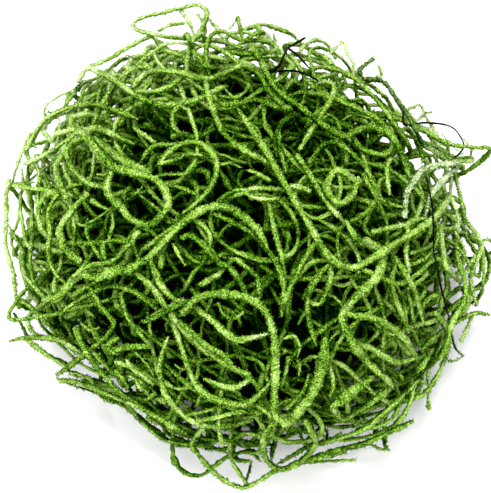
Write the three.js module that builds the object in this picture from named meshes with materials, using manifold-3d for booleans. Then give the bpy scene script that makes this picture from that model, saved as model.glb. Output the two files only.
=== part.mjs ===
// A bunch of spanish moss, dyed green: leafy curled stems tangled into one low round mound.
//
// The unit is the millimetre and +Z is up. The origin is the middle of the flat spot on the underside
// that the bunch rests on. The mound is an ellipsoid. Every stem is a round rod bent along a route on
// or in it, and each stem is laid over the ones below it, as the real ones lie on each other.
//
// moss_tangle is the mass of the bunch: a smaller lumpy core with stems that loop out of it on all
// sides. The longer stems that lie on top, and the bare fibres, are pieces of their own.

import * as THREE from "three";
import { mergeVertices } from "three/addons/utils/BufferGeometryUtils.js";
import Module from "manifold-3d";

// ---- driving dimensions ------------------------------------------------------------------------

const MOUND = new THREE.Vector3(51, 51, 33); // half sizes of the mound's ellipsoid
const MIDDLE = new THREE.Vector3(0, 0, 26); // its middle, which lies low so that the bottom is flat
const STRETCH = 0.05; // how much further the bunch reaches one way across, and less the other way
const STRETCH_WAY = THREE.MathUtils.degToRad(155);
const CORE = new THREE.Vector3(38, 38, 30); // half sizes of the core inside it, cut off flat below
const CORE_TOP = 20; // its height over the middle, where the bunch is the most open
const CORE_SEGMENTS = 18;
const CORE_RINGS = 11;
const CORE_LUMP = 0.045; // how far its lumps stand out, as a share of its size

const GAP = 0.35; // kept between one stem and the next
const FLOOR_GAP = 0.4; // kept between a stem and the surface that the bunch rests on
const STEEPEST = 0.55; // how steeply a stem climbs over another

const TANGLE_STEMS = 83; // loops that stand out of the core
const TANGLE_THICK = 1.4;
const TANGLE_STEP = 5; // length of one straight piece of such a loop
const TANGLE_SHELL = 1.02; // how far out the loops run, as a share of the mound's size
const SHOW_SINK = 0.125; // how much further in they run at most, where the stems on top lie over them
const SUNK_SHELL = 0.5; // where their ends are, inside the core
const TOP_SHARE = 1.1; // over 1, more of the loops start on the top than on the underside
const TANGLE_SEED = 20261; // of the draws for the loops, each between the two values given here:
const LOOP_LENGTH = [46, 90];
const LOOP_BEND = [0.04, 0.14]; // steady turn to one side, in radians a millimetre
const LOOP_SWAY = [0.05, 0.15]; // strongest turn of the sway to the left and right besides
const LOOP_SWAY_LENGTH = [24, 54]; // length of one such sway

// The routes of the stems on top are drawn flat, as seen from the show side: across to the right and
// up, in millimetres, from a point a little below the mound's middle. The eye is straight before that
// point, and each drawn point is thrown from the eye onto the mound.
const SHOW_ELEVATION = THREE.MathUtils.degToRad(62);
const EYE_DISTANCE = 520;
const DRAWING_DROP = 2.4;
const ROUTE_SHELL = 0.95; // how far out the stems on top lie before they are laid over the others
const RAISED_TO_EYE = 0.85; // 0 raises them straight out of the mound, and 1 straight to the eye

const STEM_SIDES = 4;
const LOOP_SIDES = 3;
const FIBRE_SIDES = 3;

// ---- the stems on top, from the lowest to the topmost ------------------------------------------
// thick is the thickness over the scales. A fork starts on its stem, at the stem's nearest point.

const GREEN = "moss_green";
const PALE = "moss_pale";
const DARK = "moss_dark";
const BARE = "bare_fibre";

const STEMS = [
  {
    name: "stem_left_rim_outer",
    thick: 1.2,
    route: [[-51.8, 14.7], [-52.9, 7.6], [-53.2, 0.5], [-51.6, -5.7], [-50.3, -11.5]],
  },
  {
    name: "stem_left_rim_inner",
    thick: 1.2,
    route: [[-52.3, 4.7], [-49.6, -0.6], [-47.4, -6.4], [-43.6, -11.5]],
  },
  {
    name: "stem_right_rim_upper",
    thick: 1.2,
    route: [[46.5, 16.5], [47.8, 10.7], [49, 5.6], [51.6, 0.4], [49.4, -6.4], [51.4, -13]],
  },
  {
    name: "stem_right_rim_tip",
    thick: 1.35,
    route: [[54.2, -15.2], [51.6, -14.8], [48.7, -15.7], [43.4, -19], [39.4, -22.6]],
  },
  {
    name: "stem_low_left_fork",
    thick: 1.3,
    route: [[-52.3, -21], [-49, -20.3], [-45.2, -20.3], [-41.2, -20.8], [-36.4, -23.6]],
    forks: [{ thick: 1.2, route: [[-49, -20.3], [-44.3, -23.9], [-39.8, -26.8]] }],
  },
  {
    name: "stem_bottom_left_rim",
    thick: 1.3,
    route: [[-41.4, -29.8], [-37.2, -30.1], [-32, -32.2], [-26.8, -34.3], [-21.2, -36.8], [-13.2, -41.4]],
    forks: [{ thick: 1, route: [[-26.8, -34.5], [-22.8, -39], [-18.3, -42.8], [-12.8, -43.9]] }],
  },
  {
    name: "stem_bottom_tail",
    thick: 1.2,
    route: [
      [-9, -39.9], [-11.7, -43.2], [-11, -45.4], [-7.2, -49.9], [-2.8, -53], [0.8, -53.2], [5.7, -50.3],
      [7.9, -49.4],
    ],
    forks: [{ thick: 1, route: [[0.8, -53.2], [-3.2, -47.2], [-3.2, -41.2]] }],
  },
  {
    name: "stem_bottom_loop",
    thick: 1.5,
    route: [
      [7, -38.1], [4.1, -41.2], [4.3, -46.1], [7.4, -49], [12.3, -47.6], [15, -44], [15.2, -42],
      [13.2, -38.5],
    ],
  },
  {
    name: "stem_bottom_right_ring",
    thick: 1.3,
    route: [[34.3, -34.1], [39.2, -33], [42.5, -28.8], [44.7, -23.4], [44.5, -18.6], [42, -14.6]],
    forks: [{ thick: 0.9, route: [[41, -31], [38.8, -29.6], [37.4, -29.9], [35.4, -32]] }],
  },
  {
    name: "stem_bottom_right_bar",
    thick: 1.9,
    route: [[17.9, -45.6], [25.9, -43.9], [32.5, -40.5], [37, -38.5]],
  },
  {
    name: "stem_bottom_right_slope",
    thick: 1.3,
    route: [[18.8, -43.4], [23, -41.4], [27.2, -38.8], [31, -35.4], [35, -31.7]],
  },
  {
    name: "stem_low_right_thick",
    thick: 2.4,
    route: [[19.2, -35.4], [22.4, -33.2], [25.4, -31], [28.4, -28.9]],
    forks: [{ thick: 1.4, route: [[19.2, -35.4], [21.9, -38.3], [28.5, -33.7], [31.9, -31.2]] }],
  },
  {
    name: "stem_top_flat_loop",
    thick: 1.2,
    route: [
      [-1.2, 43.4], [-9.2, 45.8], [-17, 46.5], [-23.9, 48], [-25, 49.2], [-23.2, 50.7], [-17, 52.3],
      [-11.4, 53.6], [-9.2, 52.9], [-8.5, 51.2], [-10.5, 46.8],
    ],
    forks: [{ thick: 1.2, route: [[-12.6, 46.3], [-11.4, 42.3], [-8.5, 39.4], [-6.1, 39.2]] }],
  },
  {
    name: "stem_dark_arc",
    thick: 1.1,
    colour: DARK,
    route: [
      [26.3, 36.7], [30.3, 36.7], [33.2, 33.2], [35.6, 28.3], [39.2, 23], [44.1, 18.7], [46.3, 17.6],
    ],
    forks: [{ thick: 0.9, route: [[26.3, 36.7], [25.2, 39], [28.5, 41.8]] }],
  },
  {
    name: "stem_upper_arc",
    thick: 1.5,
    route: [
      [-35, 40], [-30.1, 36.9], [-23.2, 32.3], [-17.9, 31.2], [-12.1, 31.8], [-6.5, 34.1], [-4.1, 35.4],
    ],
  },
  {
    name: "stem_wave_top",
    thick: 1.4,
    route: [
      [-24.8, 35.2], [-21.2, 38.1], [-14.5, 37.6], [-8.1, 36.7], [-3.2, 39.2], [-0.6, 40], [2.1, 39.2],
      [4.6, 37.2],
    ],
  },
  {
    name: "stem_left_arc",
    thick: 1.3,
    route: [[-48.7, 21.4], [-45.4, 27], [-41, 30.1], [-35.9, 31.4], [-30.5, 30.5], [-23.9, 28.1]],
  },
  {
    name: "stem_left_outer_curl",
    thick: 1.5,
    route: [
      [-39.2, 10.5], [-41.8, 16.1], [-41.4, 18.7], [-37.9, 22.7], [-33.9, 25.6], [-31.6, 25.6],
      [-27.2, 23.6], [-24.8, 22.7],
    ],
  },
  {
    name: "stem_left_inner_arc",
    thick: 1.4,
    route: [[-39.2, 20.3], [-38.7, 17.8], [-35, 14.1], [-30.7, 13.2]],
  },
  {
    name: "stem_left_vertical",
    thick: 1.7,
    route: [[-35, 11.8], [-36.7, 10.1], [-40, 5.9], [-41.2, 3.2], [-39.8, -0.8], [-36.6, -3.4]],
  },
  {
    name: "stem_left_low_zig",
    thick: 1.3,
    route: [
      [-41.8, -28.5], [-37.2, -25.2], [-32.7, -21.7], [-30.3, -19.2], [-29.2, -16.8], [-32.1, -13.2],
      [-34.5, -9.2], [-37.6, -11],
    ],
  },
  {
    name: "stem_left_low_long",
    thick: 1.4,
    route: [[-37.6, -17.9], [-34.7, -23.7], [-30.7, -29.4], [-26.3, -33.7]],
  },
  {
    name: "stem_small_hook_fork",
    thick: 1.5,
    route: [[-28.3, -20.3], [-30.4, -22], [-29.2, -23.2], [-26.5, -22.3], [-20.8, -22.3]],
    forks: [{ thick: 0.9, route: [[-21.6, -22.3], [-25.9, -16.3], [-27.6, -11]] }],
  },
  {
    name: "stem_fan_outer",
    thick: 1.4,
    route: [
      [-17.2, -20.1], [-19, -26.1], [-18.1, -32.1], [-14.5, -36.8], [-10.1, -39.4], [-3.4, -39.6],
      [1.5, -38.6],
    ],
  },
  {
    name: "stem_fan_middle",
    thick: 1.4,
    route: [
      [-16.8, -14.8], [-14.5, -21.2], [-12.3, -27.7], [-9.4, -32.1], [-2.3, -34.8], [1.2, -34.3],
      [5.7, -29.9],
    ],
  },
  {
    name: "stem_right_vertical",
    thick: 1.4,
    route: [[32.1, -0.8], [35, -5.7], [37.6, -10.8], [39.4, -16.8]],
    forks: [{ thick: 1.3, route: [[33, -2.4], [32.4, -8.1], [34.1, -13.7], [36.1, -19.2]] }],
  },
  {
    name: "stem_slim_vertical",
    thick: 1.1,
    route: [[28.5, -8.6], [30.7, -15], [30.7, -19.4], [30.3, -23.7], [30.7, -27.4]],
  },
  {
    name: "stem_pale",
    thick: 1.1,
    colour: PALE,
    route: [[35.2, 6.5], [35.4, 9.6], [36.1, 12.7], [39.4, 17], [42.3, 17.6], [45.6, 17.4]],
    forks: [{ thick: 1, route: [[45.2, 17.4], [41.2, 11.6], [39.8, 6.7]] }],
  },
  {
    name: "stem_blunt_right_fork",
    thick: 1.4,
    route: [[28.1, 3.2], [32.5, 4.1], [35.4, 4.6], [36.1, 2.6], [35.6, -0.8], [36.3, -5.9]],
    forks: [{ thick: 1.3, route: [[35.4, 4.6], [37.6, 5.8], [39.8, 6.2]] }],
  },
  {
    name: "stem_centre_right",
    thick: 1.3,
    route: [[11.4, 20.3], [15, 14.3], [18.3, 9.2], [22.1, 5]],
  },
  {
    name: "stem_small_ring",
    thick: 1.4,
    route: [
      [25.2, 13.9], [21.6, 16.3], [19.4, 16.3], [17.9, 12.5], [20.5, 9.4], [23.6, 11.2], [24.9, 15.2],
    ],
  },
  {
    name: "stem_right_arc",
    thick: 1.4,
    route: [
      [14.1, 18.5], [17.2, 22.5], [19.6, 23], [22.5, 21.6], [27, 17], [29, 11.6], [28.3, 9.2],
      [26.3, 7.2], [23.2, 5.4],
    ],
  },
  {
    name: "stem_hooked_top",
    thick: 1.3,
    route: [[13.4, 36.9], [19, 36.3], [19.6, 34.3], [18.3, 31.6], [14.5, 25.6], [11.9, 21.4]],
  },
  {
    name: "stem_down_diagonal",
    thick: 1.5,
    route: [[-8.8, 36.1], [-7.4, 30.9], [-5.4, 26.1], [-1.7, 22.1], [3.7, 19.2], [5.9, 18]],
  },
  {
    name: "stem_short_bridge",
    thick: 1.5,
    route: [[-1.6, 31.6], [2.6, 32.5], [6.8, 31.2], [10.3, 30.5]],
  },
  {
    name: "stem_s_wave",
    thick: 1.6,
    route: [
      [1, 44], [3.7, 39.8], [5.9, 35.6], [9.4, 32.7], [16.5, 27.2], [20.1, 25], [22.1, 24.5],
      [23.9, 25.2], [27.6, 26.5], [31.9, 24.7], [34.5, 20.5], [36.3, 15.2],
    ],
  },
  {
    name: "stem_mid_ring",
    thick: 1.4,
    route: [
      [-19.4, 18.3], [-15.4, 22.1], [-10.3, 23], [-6.8, 19.6], [-6.8, 15.2], [-9.9, 10.5],
      [-13.9, 7.4],
    ],
    forks: [{ thick: 1.2, route: [[-19.4, 18.3], [-15.6, 19.2], [-12.8, 20.4], [-9.7, 20.2]] }],
  },
  {
    name: "stem_left_thick_diagonal",
    thick: 1.9,
    route: [[-33, 23.6], [-27, 18.7], [-21, 16.3]],
  },
  {
    name: "stem_left_ring",
    thick: 1.7,
    route: [
      [-36.7, 26.3], [-33, 21.2], [-29.4, 17.6], [-24.3, 16.1], [-19.6, 14.5], [-17.2, 10.7],
      [-17.6, 8.3], [-21.2, 4.7], [-25.4, 6.1], [-27.4, 8.5], [-29.6, 10.5], [-30.7, 13],
      [-29.4, 16.3],
    ],
  },
  {
    name: "stem_inverted_v",
    thick: 1.3,
    route: [[-10.1, -8.6], [-5.9, -6.1], [-2.8, -3], [-0.8, -3.9], [2.6, -7], [3, -11.7]],
  },
  {
    name: "stem_fork_centre",
    thick: 1.6,
    route: [[-14.3, 1.9], [-11.9, 2.3], [-8.5, -0.4], [-5.7, -3.7], [-3.4, -4.8], [-0.8, -8.6], [0.3, -11.2]],
  },
  {
    name: "stem_club_wave",
    thick: 1.5,
    route: [
      [-21.9, -16.1], [-17, -13.7], [-13.5, -12.1], [-7.7, -16.3], [-3, -20.3], [-0.1, -20.6],
      [4.8, -19.4],
    ],
  },
  {
    name: "stem_fan_inner",
    thick: 1.5,
    route: [
      [-25.9, -4.8], [-21.2, -8.6], [-17.2, -13.9], [-12.8, -19.4], [-7, -24.3], [-2.6, -27],
      [0.1, -28.1], [1, -29], [-0.6, -30.5], [-3.4, -31.4], [-9.2, -29.4],
    ],
  },
  {
    name: "stem_twin_vertical",
    thick: 1.2,
    route: [[5.2, 9.4], [6.5, 3.2], [8.1, -2.8], [8.9, -9.2]],
  },
  {
    name: "stem_parallel_arc",
    thick: 1.4,
    route: [[-7.2, 7.4], [-3, 5.4], [1.4, 3], [4.8, -0.8], [7.4, -5.2], [8.5, -10.6], [7.9, -15.5]],
  },
  {
    name: "stem_hairpin",
    thick: 1.2,
    route: [
      [14.3, 12.1], [11, 13.2], [7.9, 12.5], [2.8, 12.7], [0.5, 12.2], [0.9, 11], [5, 10.2], [7, 10.6],
    ],
  },
  {
    name: "stem_rise_right",
    thick: 1.3,
    route: [[8.5, -12.6], [10.8, -7.7], [14.5, -3.7], [16.8, -3.2], [19, -3]],
    forks: [{ thick: 1.2, route: [[10.8, -7.7], [12.5, -3.7], [15.4, 0.8]] }],
  },
  {
    name: "stem_small_loop_right",
    thick: 1.2,
    route: [
      [14.1, -12.1], [16.5, -12.6], [18.5, -7.9], [18.1, -4.4], [14.5, -9.2], [13.7, -12.6],
      [13.9, -15.9], [15.7, -22.1],
    ],
  },
  {
    name: "stem_elbow_fork",
    thick: 1.8,
    route: [
      [22.1, 5.4], [24.8, 1], [26.8, 1], [29.9, -1], [30.3, -2.8], [28.8, -6.6], [25.4, -10.1],
      [22.5, -13.7], [21.2, -16.3], [23.9, -21.7], [27.4, -26.1], [31.2, -29.4], [32.3, -30.8],
    ],
    forks: [
      { thick: 1.5, route: [[21.4, -16.6], [28.5, -16.1], [33, -18.6], [36.5, -22.3], [38.3, -25.7]] },
      { thick: 1.4, route: [[23.2, -20.4], [27.6, -22.6], [32.1, -25.2], [34.6, -25.6], [37.4, -24.6]] },
    ],
  },
  {
    name: "stem_long_diagonal",
    thick: 1.7,
    route: [
      [-44, -11.7], [-40.7, -10.6], [-37.2, -6.8], [-33, -4.8], [-27, -5.5], [-25, -4.8],
      [-21.4, -2.4], [-15, 4.1], [-9.4, 8.1], [-4.8, 8.7], [-1.9, 7.6], [2.6, 3.6], [5, -0.6],
    ],
    forks: [{ thick: 1.3, route: [[-22.6, -3.2], [-18.3, -9.2], [-14.1, -12.8]] }],
  },
  {
    name: "stem_steep_diagonal",
    thick: 1.7,
    route: [
      [-1.7, 30.5], [4.3, 21.4], [8.5, 13.9], [11.9, 8.3], [15, 3.2], [17.7, -1.7], [19.4, -3.5],
      [21.4, -4.6], [23.4, -4.8], [25.9, -3.9], [30.7, -1], [35.6, 2.1], [40.3, 5.2], [42.5, 7.4],
      [45.4, 11.2],
    ],
  },
  {
    name: "stem_great_hook",
    thick: 2,
    route: [
      [-13.9, -14.8], [-10.1, -11.2], [-3.9, -10.6], [1.7, -12.1], [5.2, -15.9], [6.5, -21.9],
      [6.5, -29.2], [6.3, -35.9], [7.4, -37.7], [9.2, -38.3], [11, -37.4], [14.3, -33.2],
      [16.8, -27], [17.7, -20.3],
    ],
  },
];

// The bare fibres are drawn no thinner than 0.7 mm.
const FIBRES_BELOW = [
  {
    name: "fibre_upper",
    thick: 0.7,
    route: [
      [35.2, 31.2], [35, 27.4], [36.5, 26.7], [41.2, 27.4], [46.1, 26.3], [48.3, 22.3], [45.6, 19.2],
    ],
  },
];

const FIBRES_ON_TOP = [
  {
    name: "fibre_long",
    thick: 0.7,
    route: [[40.1, 15.9], [40.7, 8.1], [41.6, -0.8], [43.2, -8.1], [45.2, -16.3]],
  },
  {
    name: "fibre_clot",
    thick: 1,
    route: [[13.2, 46.3], [9.4, 43.8], [7.4, 40], [5, 38.7], [11.2, 38.7], [16.1, 36.5]],
    forks: [{ thick: 0.8, route: [[9.4, 43.8], [11.6, 42.4], [14.3, 39.4]] }],
  },
];

const COLOURS = {
  [GREEN]: new THREE.MeshStandardMaterial({ color: 0x5f9d22, roughness: 0.9, metalness: 0 }),
  [PALE]: new THREE.MeshStandardMaterial({ color: 0xa9bd86, roughness: 0.9, metalness: 0 }),
  [DARK]: new THREE.MeshStandardMaterial({ color: 0x2f5a14, roughness: 0.9, metalness: 0 }),
  [BARE]: new THREE.MeshStandardMaterial({ color: 0x14170e, roughness: 0.6, metalness: 0 }),
};

// ---- places on the mound -----------------------------------------------------------------------

// The direction that points straight out of the mound at a point.
function outward(point) {
  return point.clone().sub(MIDDLE).divide(MOUND).divide(MOUND).normalize();
}

// Moves a point straight out from the mound's middle, or in, to a share of the mound's size.
function toShell(point, share) {
  const ray = point.clone().sub(MIDDLE);
  return ray.multiplyScalar(share / ray.clone().divide(MOUND).length()).add(MIDDLE);
}

// How far the bunch reaches in a direction, as a share of how far it would if it were round.
function reach(out) {
  const level = 1 - out.z * out.z;
  return 1 + STRETCH * level * Math.cos(2 * (Math.atan2(out.y, out.x) - STRETCH_WAY));
}

const DRAWN_UP = new THREE.Vector3(0, Math.sin(SHOW_ELEVATION), Math.cos(SHOW_ELEVATION));
const DRAWN_MIDDLE = MIDDLE.clone().addScaledVector(DRAWN_UP, -DRAWING_DROP);
const TO_EYE = new THREE.Vector3(0, -Math.cos(SHOW_ELEVATION), Math.sin(SHOW_ELEVATION));
const EYE = DRAWN_MIDDLE.clone().addScaledVector(TO_EYE, EYE_DISTANCE);

// The way in which a drawn stem is raised over others: partly towards the eye, which keeps its drawn
// form, and partly straight out of the mound, which keeps it low where the mound falls away.
function upForDrawn(point) {
  const towardsEye = EYE.clone().sub(point).normalize();
  return outward(point).lerp(towardsEye, RAISED_TO_EYE).normalize();
}

// The place on the mound of a drawn point. Where the line of sight passes the mound by, it is the
// place where that line comes closest.
function thrownOnMound([across, up]) {
  const drawn = DRAWN_MIDDLE.clone().addScaledVector(DRAWN_UP, up);
  drawn.x += across;
  const sight = drawn.sub(EYE);
  const e = EYE.clone().sub(MIDDLE).divide(MOUND);
  const s = sight.clone().divide(MOUND);
  const along = e.dot(s) / s.lengthSq();
  const rest = along * along - (e.lengthSq() - ROUTE_SHELL * ROUTE_SHELL) / s.lengthSq();
  const reach = -along - Math.sqrt(Math.max(0, rest));
  return EYE.clone().addScaledVector(sight, reach);
}

// ---- laying one stem over the others -----------------------------------------------------------

const laid = []; // samples of every stem that lies already
const SAMPLE = 1; // spacing of the points at which clearance is measured
const LAYING_ROUNDS = 20;
const CLEAR_ENOUGH = 0.002;
const OWN_REACH = 2; // thicknesses along a line within which it isn't measured against itself

// Points along a bent line, about SAMPLE apart. place counts the line's joints, so that 2.5 is
// halfway between the joints 2 and 3, and walked is the length of the line up to the point.
function samplesOf(line, radius) {
  const samples = [];
  let walked = 0;
  for (let i = 0; i < line.length - 1; i++) {
    const length = line[i].distanceTo(line[i + 1]);
    const count = Math.max(1, Math.ceil(length / SAMPLE));
    for (let j = 0; j < count; j++) {
      const point = line[i].clone().lerp(line[i + 1], j / count);
      samples.push({ point, radius, place: i + j / count, walked: walked + (length * j) / count });
    }
    walked += length;
  }
  samples.push({ point: line.at(-1).clone(), radius, place: line.length - 1, walked });
  return samples;
}

// How much further out a sample has to be to lie over another that it is too close to.
function rise(sample, out, other) {
  const dx = sample.point.x - other.point.x;
  const dy = sample.point.y - other.point.y;
  const dz = sample.point.z - other.point.z;
  const apart = sample.radius + other.radius + GAP;
  const distance2 = dx * dx + dy * dy + dz * dz;
  if (distance2 >= apart * apart) return 0;
  const height = dx * out.x + dy * out.y + dz * out.z;
  return Math.sqrt(apart * apart - distance2 + height * height) - height;
}

// Raises a line until it clears what is laid already, and its own earlier part where it crosses
// itself. direction gives the way up at a point: straight out of the mound for a loop of the tangle,
// and towards the eye for a drawn stem, which so keeps its drawn form. Only what is between the
// places from and to on the line is measured and moved.
function layOver(line, radius, direction, from = 0, to = line.length - 1, others = laid) {
  const ownReach = OWN_REACH * (2 * radius + GAP);
  for (let round = 0; round < LAYING_ROUNDS; round++) {
    const lift = line.map(() => 0);
    const samples = samplesOf(line, radius);
    samples.forEach((sample, n) => {
      if (sample.place < from || sample.place > to) return;
      const out = direction(sample.point);
      let need = 0;
      for (const other of others) need = Math.max(need, rise(sample, out, other));
      for (let k = 0; k < n && sample.walked - samples[k].walked > ownReach; k++)
        need = Math.max(need, rise(sample, out, samples[k]));
      for (const end of [Math.floor(sample.place), Math.ceil(sample.place)])
        lift[end] = Math.max(lift[end], need);
    });
    if (Math.max(...lift) < CLEAR_ENOUGH) break;
    raise(line, lift, line.map(direction), Math.ceil(from), to);
  }
  for (const point of line) point.z = Math.max(point.z, radius + FLOOR_GAP);
  return line;
}

// Moves each joint up by its lift, and its neighbours with it, so that the line climbs gently.
function raise(line, lift, ups, first, to) {
  for (let i = first + 1; i <= to; i++)
    lift[i] = Math.max(lift[i], lift[i - 1] - STEEPEST * line[i].distanceTo(line[i - 1]));
  for (let i = to - 1; i >= first; i--)
    lift[i] = Math.max(lift[i], lift[i + 1] - STEEPEST * line[i].distanceTo(line[i + 1]));
  for (let i = first; i <= to; i++) line[i].addScaledVector(ups[i], lift[i]);
}

// ---- solids ------------------------------------------------------------------------------------

const WELD = 1e-4; // corners nearer to each other than this are one corner

const wasm = await Module();
wasm.setup();

function solidOf(geometry) {
  geometry.deleteAttribute("normal");
  geometry.deleteAttribute("uv");
  const merged = mergeVertices(geometry, WELD);
  return new wasm.Manifold(
    new wasm.Mesh({
      numProp: 3,
      vertProperties: new Float32Array(merged.getAttribute("position").array),
      triVerts: new Uint32Array(merged.index.array),
    }),
  );
}

function meshOf(solid, name, colour) {
  const made = solid.getMesh();
  const geometry = new THREE.BufferGeometry();
  geometry.setAttribute("position", new THREE.BufferAttribute(made.vertProperties, made.numProp));
  geometry.setIndex(new THREE.BufferAttribute(made.triVerts, 1));
  geometry.computeVertexNormals();
  const mesh = new THREE.Mesh(geometry, COLOURS[colour].clone());
  mesh.name = name;
  return mesh;
}

const END_THICKNESS = 0.7; // of a stem's two ends, as a share of its own
const UPRIGHT = 0.1; // a line that starts closer to upright than this has its first ring set by X

// A straight rod bent along a line: one ring of the rod stands at each joint of the line, square to
// it and turned as little as possible from the ring before.
function stemSolid(line, radius, sides) {
  const pieces = line.length - 1;
  const normals = [];
  const binormals = [];
  const tangents = line.map((_, i) =>
    line[Math.min(i + 1, pieces)].clone().sub(line[Math.max(i - 1, 0)]).normalize(),
  );
  let normal = new THREE.Vector3(0, 0, 1).cross(tangents[0]);
  if (normal.length() < UPRIGHT) normal.set(1, 0, 0);
  tangents.forEach((tangent, i) => {
    normal = normal.clone().addScaledVector(tangent, -normal.dot(tangent)).normalize();
    normals[i] = normal;
    binormals[i] = new THREE.Vector3().crossVectors(normal, tangent);
  });
  const rod = new THREE.CylinderGeometry(radius, radius, pieces, sides, pieces);
  const place = rod.getAttribute("position");
  for (let v = 0; v < place.count; v++) {
    const ring = Math.round(place.getY(v) + pieces / 2);
    const size = ring === 0 || ring === pieces ? END_THICKNESS : 1;
    const point = line[ring].clone();
    point.addScaledVector(normals[ring], place.getX(v) * size);
    point.addScaledVector(binormals[ring], place.getZ(v) * size);
    place.setXYZ(v, point.x, point.y, point.z);
  }
  return solidOf(rod);
}

// Low lumps on a ball of radius 1, as waves that run across it. The value is about 0 on the average.
function lumpAt({ x, y, z }) {
  return Math.sin(5 * x + 1) + Math.sin(6 * y - 2 * x) * Math.cos(5 * z + 2 * y) - 0.5;
}

// The core: a lumpy ellipsoid, with a flat spot at the bottom that the bunch rests on.
function coreSolid() {
  const core = new THREE.SphereGeometry(1, CORE_SEGMENTS, CORE_RINGS).rotateX(Math.PI / 2);
  const place = core.getAttribute("position");
  for (let v = 0; v < place.count; v++) {
    const p = new THREE.Vector3().fromBufferAttribute(place, v);
    p.multiplyScalar(1 + CORE_LUMP * lumpAt(p)).multiply(CORE);
    if (p.z > 0) p.z *= CORE_TOP / CORE.z;
    p.add(MIDDLE);
    place.setXYZ(v, p.x, p.y, Math.max(0, p.z));
  }
  return solidOf(core);
}

// ---- the tangle --------------------------------------------------------------------------------

// Park and Miller's generator, so that each build draws the same numbers. A draw is between low and
// high.
const MULTIPLIER = 16807;
const MODULUS = 2147483647;

function drawsFrom(seed) {
  let state = seed;
  return ([low, high]) => {
    state = (state * MULTIPLIER) % MODULUS;
    return low + ((high - low) * state) / MODULUS;
  };
}

// A curled line that walks over the mound from a start, turning left or right as it goes, and that
// comes out of the core at its first end and goes back into it at its last.
function curledLine(start, draw) {
  const steps = Math.round(draw(LOOP_LENGTH) / TANGLE_STEP);
  const heading = draw([0, 2 * Math.PI]);
  const side = Math.sign(draw([-1, 1]));
  const bend = side * draw(LOOP_BEND);
  const sway = draw(LOOP_SWAY);
  const swayLength = draw(LOOP_SWAY_LENGTH);
  const swayStart = draw([0, 2 * Math.PI]);
  let point = toShell(start, SUNK_SHELL);
  let out = outward(point);
  let ahead = new THREE.Vector3(Math.cos(heading), Math.sin(heading), 0.3);
  ahead = ahead.projectOnPlane(out).normalize();
  const line = [point];
  for (let i = 1; i <= steps; i++) {
    const turn = bend + sway * Math.sin((2 * Math.PI * i * TANGLE_STEP) / swayLength + swayStart);
    ahead = ahead.applyAxisAngle(out, turn * TANGLE_STEP).projectOnPlane(out).normalize();
    const arch = Math.sqrt(Math.max(0, Math.sin((Math.PI * i) / steps)));
    const shell = TANGLE_SHELL * reach(out) - SHOW_SINK * Math.max(0, out.dot(TO_EYE));
    const share = SUNK_SHELL + (shell - SUNK_SHELL) * arch;
    point = toShell(point.clone().addScaledVector(ahead, TANGLE_STEP), share);
    out = outward(point);
    line.push(point);
  }
  return line;
}

// Places spread over the mound, on a spiral from its top to its underside. The top is the broader
// face of the flat mound, so it gets more of them.
function spreadStarts(count) {
  const goldenAngle = Math.PI * (3 - Math.sqrt(5));
  return Array.from({ length: count }, (_, i) => {
    const z = 1 - 2 * ((i + 0.5) / count) ** TOP_SHARE;
    const across = Math.sqrt(1 - z * z);
    const angle = i * goldenAngle;
    const place = new THREE.Vector3(across * Math.cos(angle), across * Math.sin(angle), z);
    return place.multiply(MOUND).add(MIDDLE);
  });
}

function makeTangle() {
  const draw = drawsFrom(TANGLE_SEED);
  const radius = TANGLE_THICK / 2;
  const solids = [coreSolid()];
  for (const start of spreadStarts(TANGLE_STEMS)) {
    const line = curledLine(start, draw);
    const last = line.length - 1;
    layOver(line, radius, outward, 2, last - 2);
    for (const sample of samplesOf(line, radius)) laid.push(sample);
    solids.push(stemSolid(line, radius, LOOP_SIDES));
  }
  return meshOf(wasm.Manifold.union(solids), "moss_tangle", GREEN);
}

// ---- the stems on top --------------------------------------------------------------------------

const PIECES_PER_SPAN = 2; // straight pieces between two drawn points
const FORK_FREE = 0.5; // the place on a fork from which it is laid over others: before it, it is sunk
const FORK_CLEAR = 3; // thicknesses of its own stem round the fork's start that it isn't laid over

function smoothLine(points) {
  const curve = new THREE.CatmullRomCurve3(points, false, "catmullrom", 0.5);
  return curve.getPoints(PIECES_PER_SPAN * (points.length - 1));
}

function nearest(line, point) {
  return line.reduce((best, p) => (p.distanceTo(point) < best.distanceTo(point) ? p : best));
}

function makeStem({ name, thick, route, forks = [], colour = GREEN }, sides) {
  const radius = thick / 2;
  const line = layOver(smoothLine(route.map(thrownOnMound)), radius, upForDrawn);
  const solids = [stemSolid(line, radius, sides)];
  const own = samplesOf(line, radius);
  for (const fork of forks) {
    const points = fork.route.map(thrownOnMound);
    points[0] = nearest(line, points[0]).clone();
    const clear = own.filter((sample) => sample.point.distanceTo(points[0]) > FORK_CLEAR * thick);
    const branch = smoothLine(points);
    layOver(branch, fork.thick / 2, upForDrawn, FORK_FREE, branch.length - 1, [...laid, ...clear]);
    own.push(...samplesOf(branch, fork.thick / 2));
    solids.push(stemSolid(branch, fork.thick / 2, sides));
  }
  for (const sample of own) laid.push(sample);
  return meshOf(wasm.Manifold.union(solids), name, colour);
}

const bunch = new THREE.Group();
bunch.name = "spanish_moss_bunch";
bunch.add(makeTangle());
for (const fibre of FIBRES_BELOW) bunch.add(makeStem({ ...fibre, colour: BARE }, FIBRE_SIDES));
for (const stem of STEMS) bunch.add(makeStem(stem, STEM_SIDES));
for (const fibre of FIBRES_ON_TOP) bunch.add(makeStem({ ...fibre, colour: BARE }, FIBRE_SIDES));

export default bunch;
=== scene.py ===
# The looks of a bunch of spanish moss, dyed green: velvety curled stems tangled into a low mound.
#
# The lines of the stems are worked out here as the CAD part works them out, by the same rules from
# the same sizes, and each line then gets a fine scaly skin. Between and under the stems that the part
# holds come many more of the same kind, down to a heart coloured near black as painted shade. Their
# colour holds painted shade, deep in the mound and on the sides turned from the light, and painted
# light, which makes the rim paler. Lengths are in millimetres up to the point where a mesh is made.

import math
from dataclasses import dataclass

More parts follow.
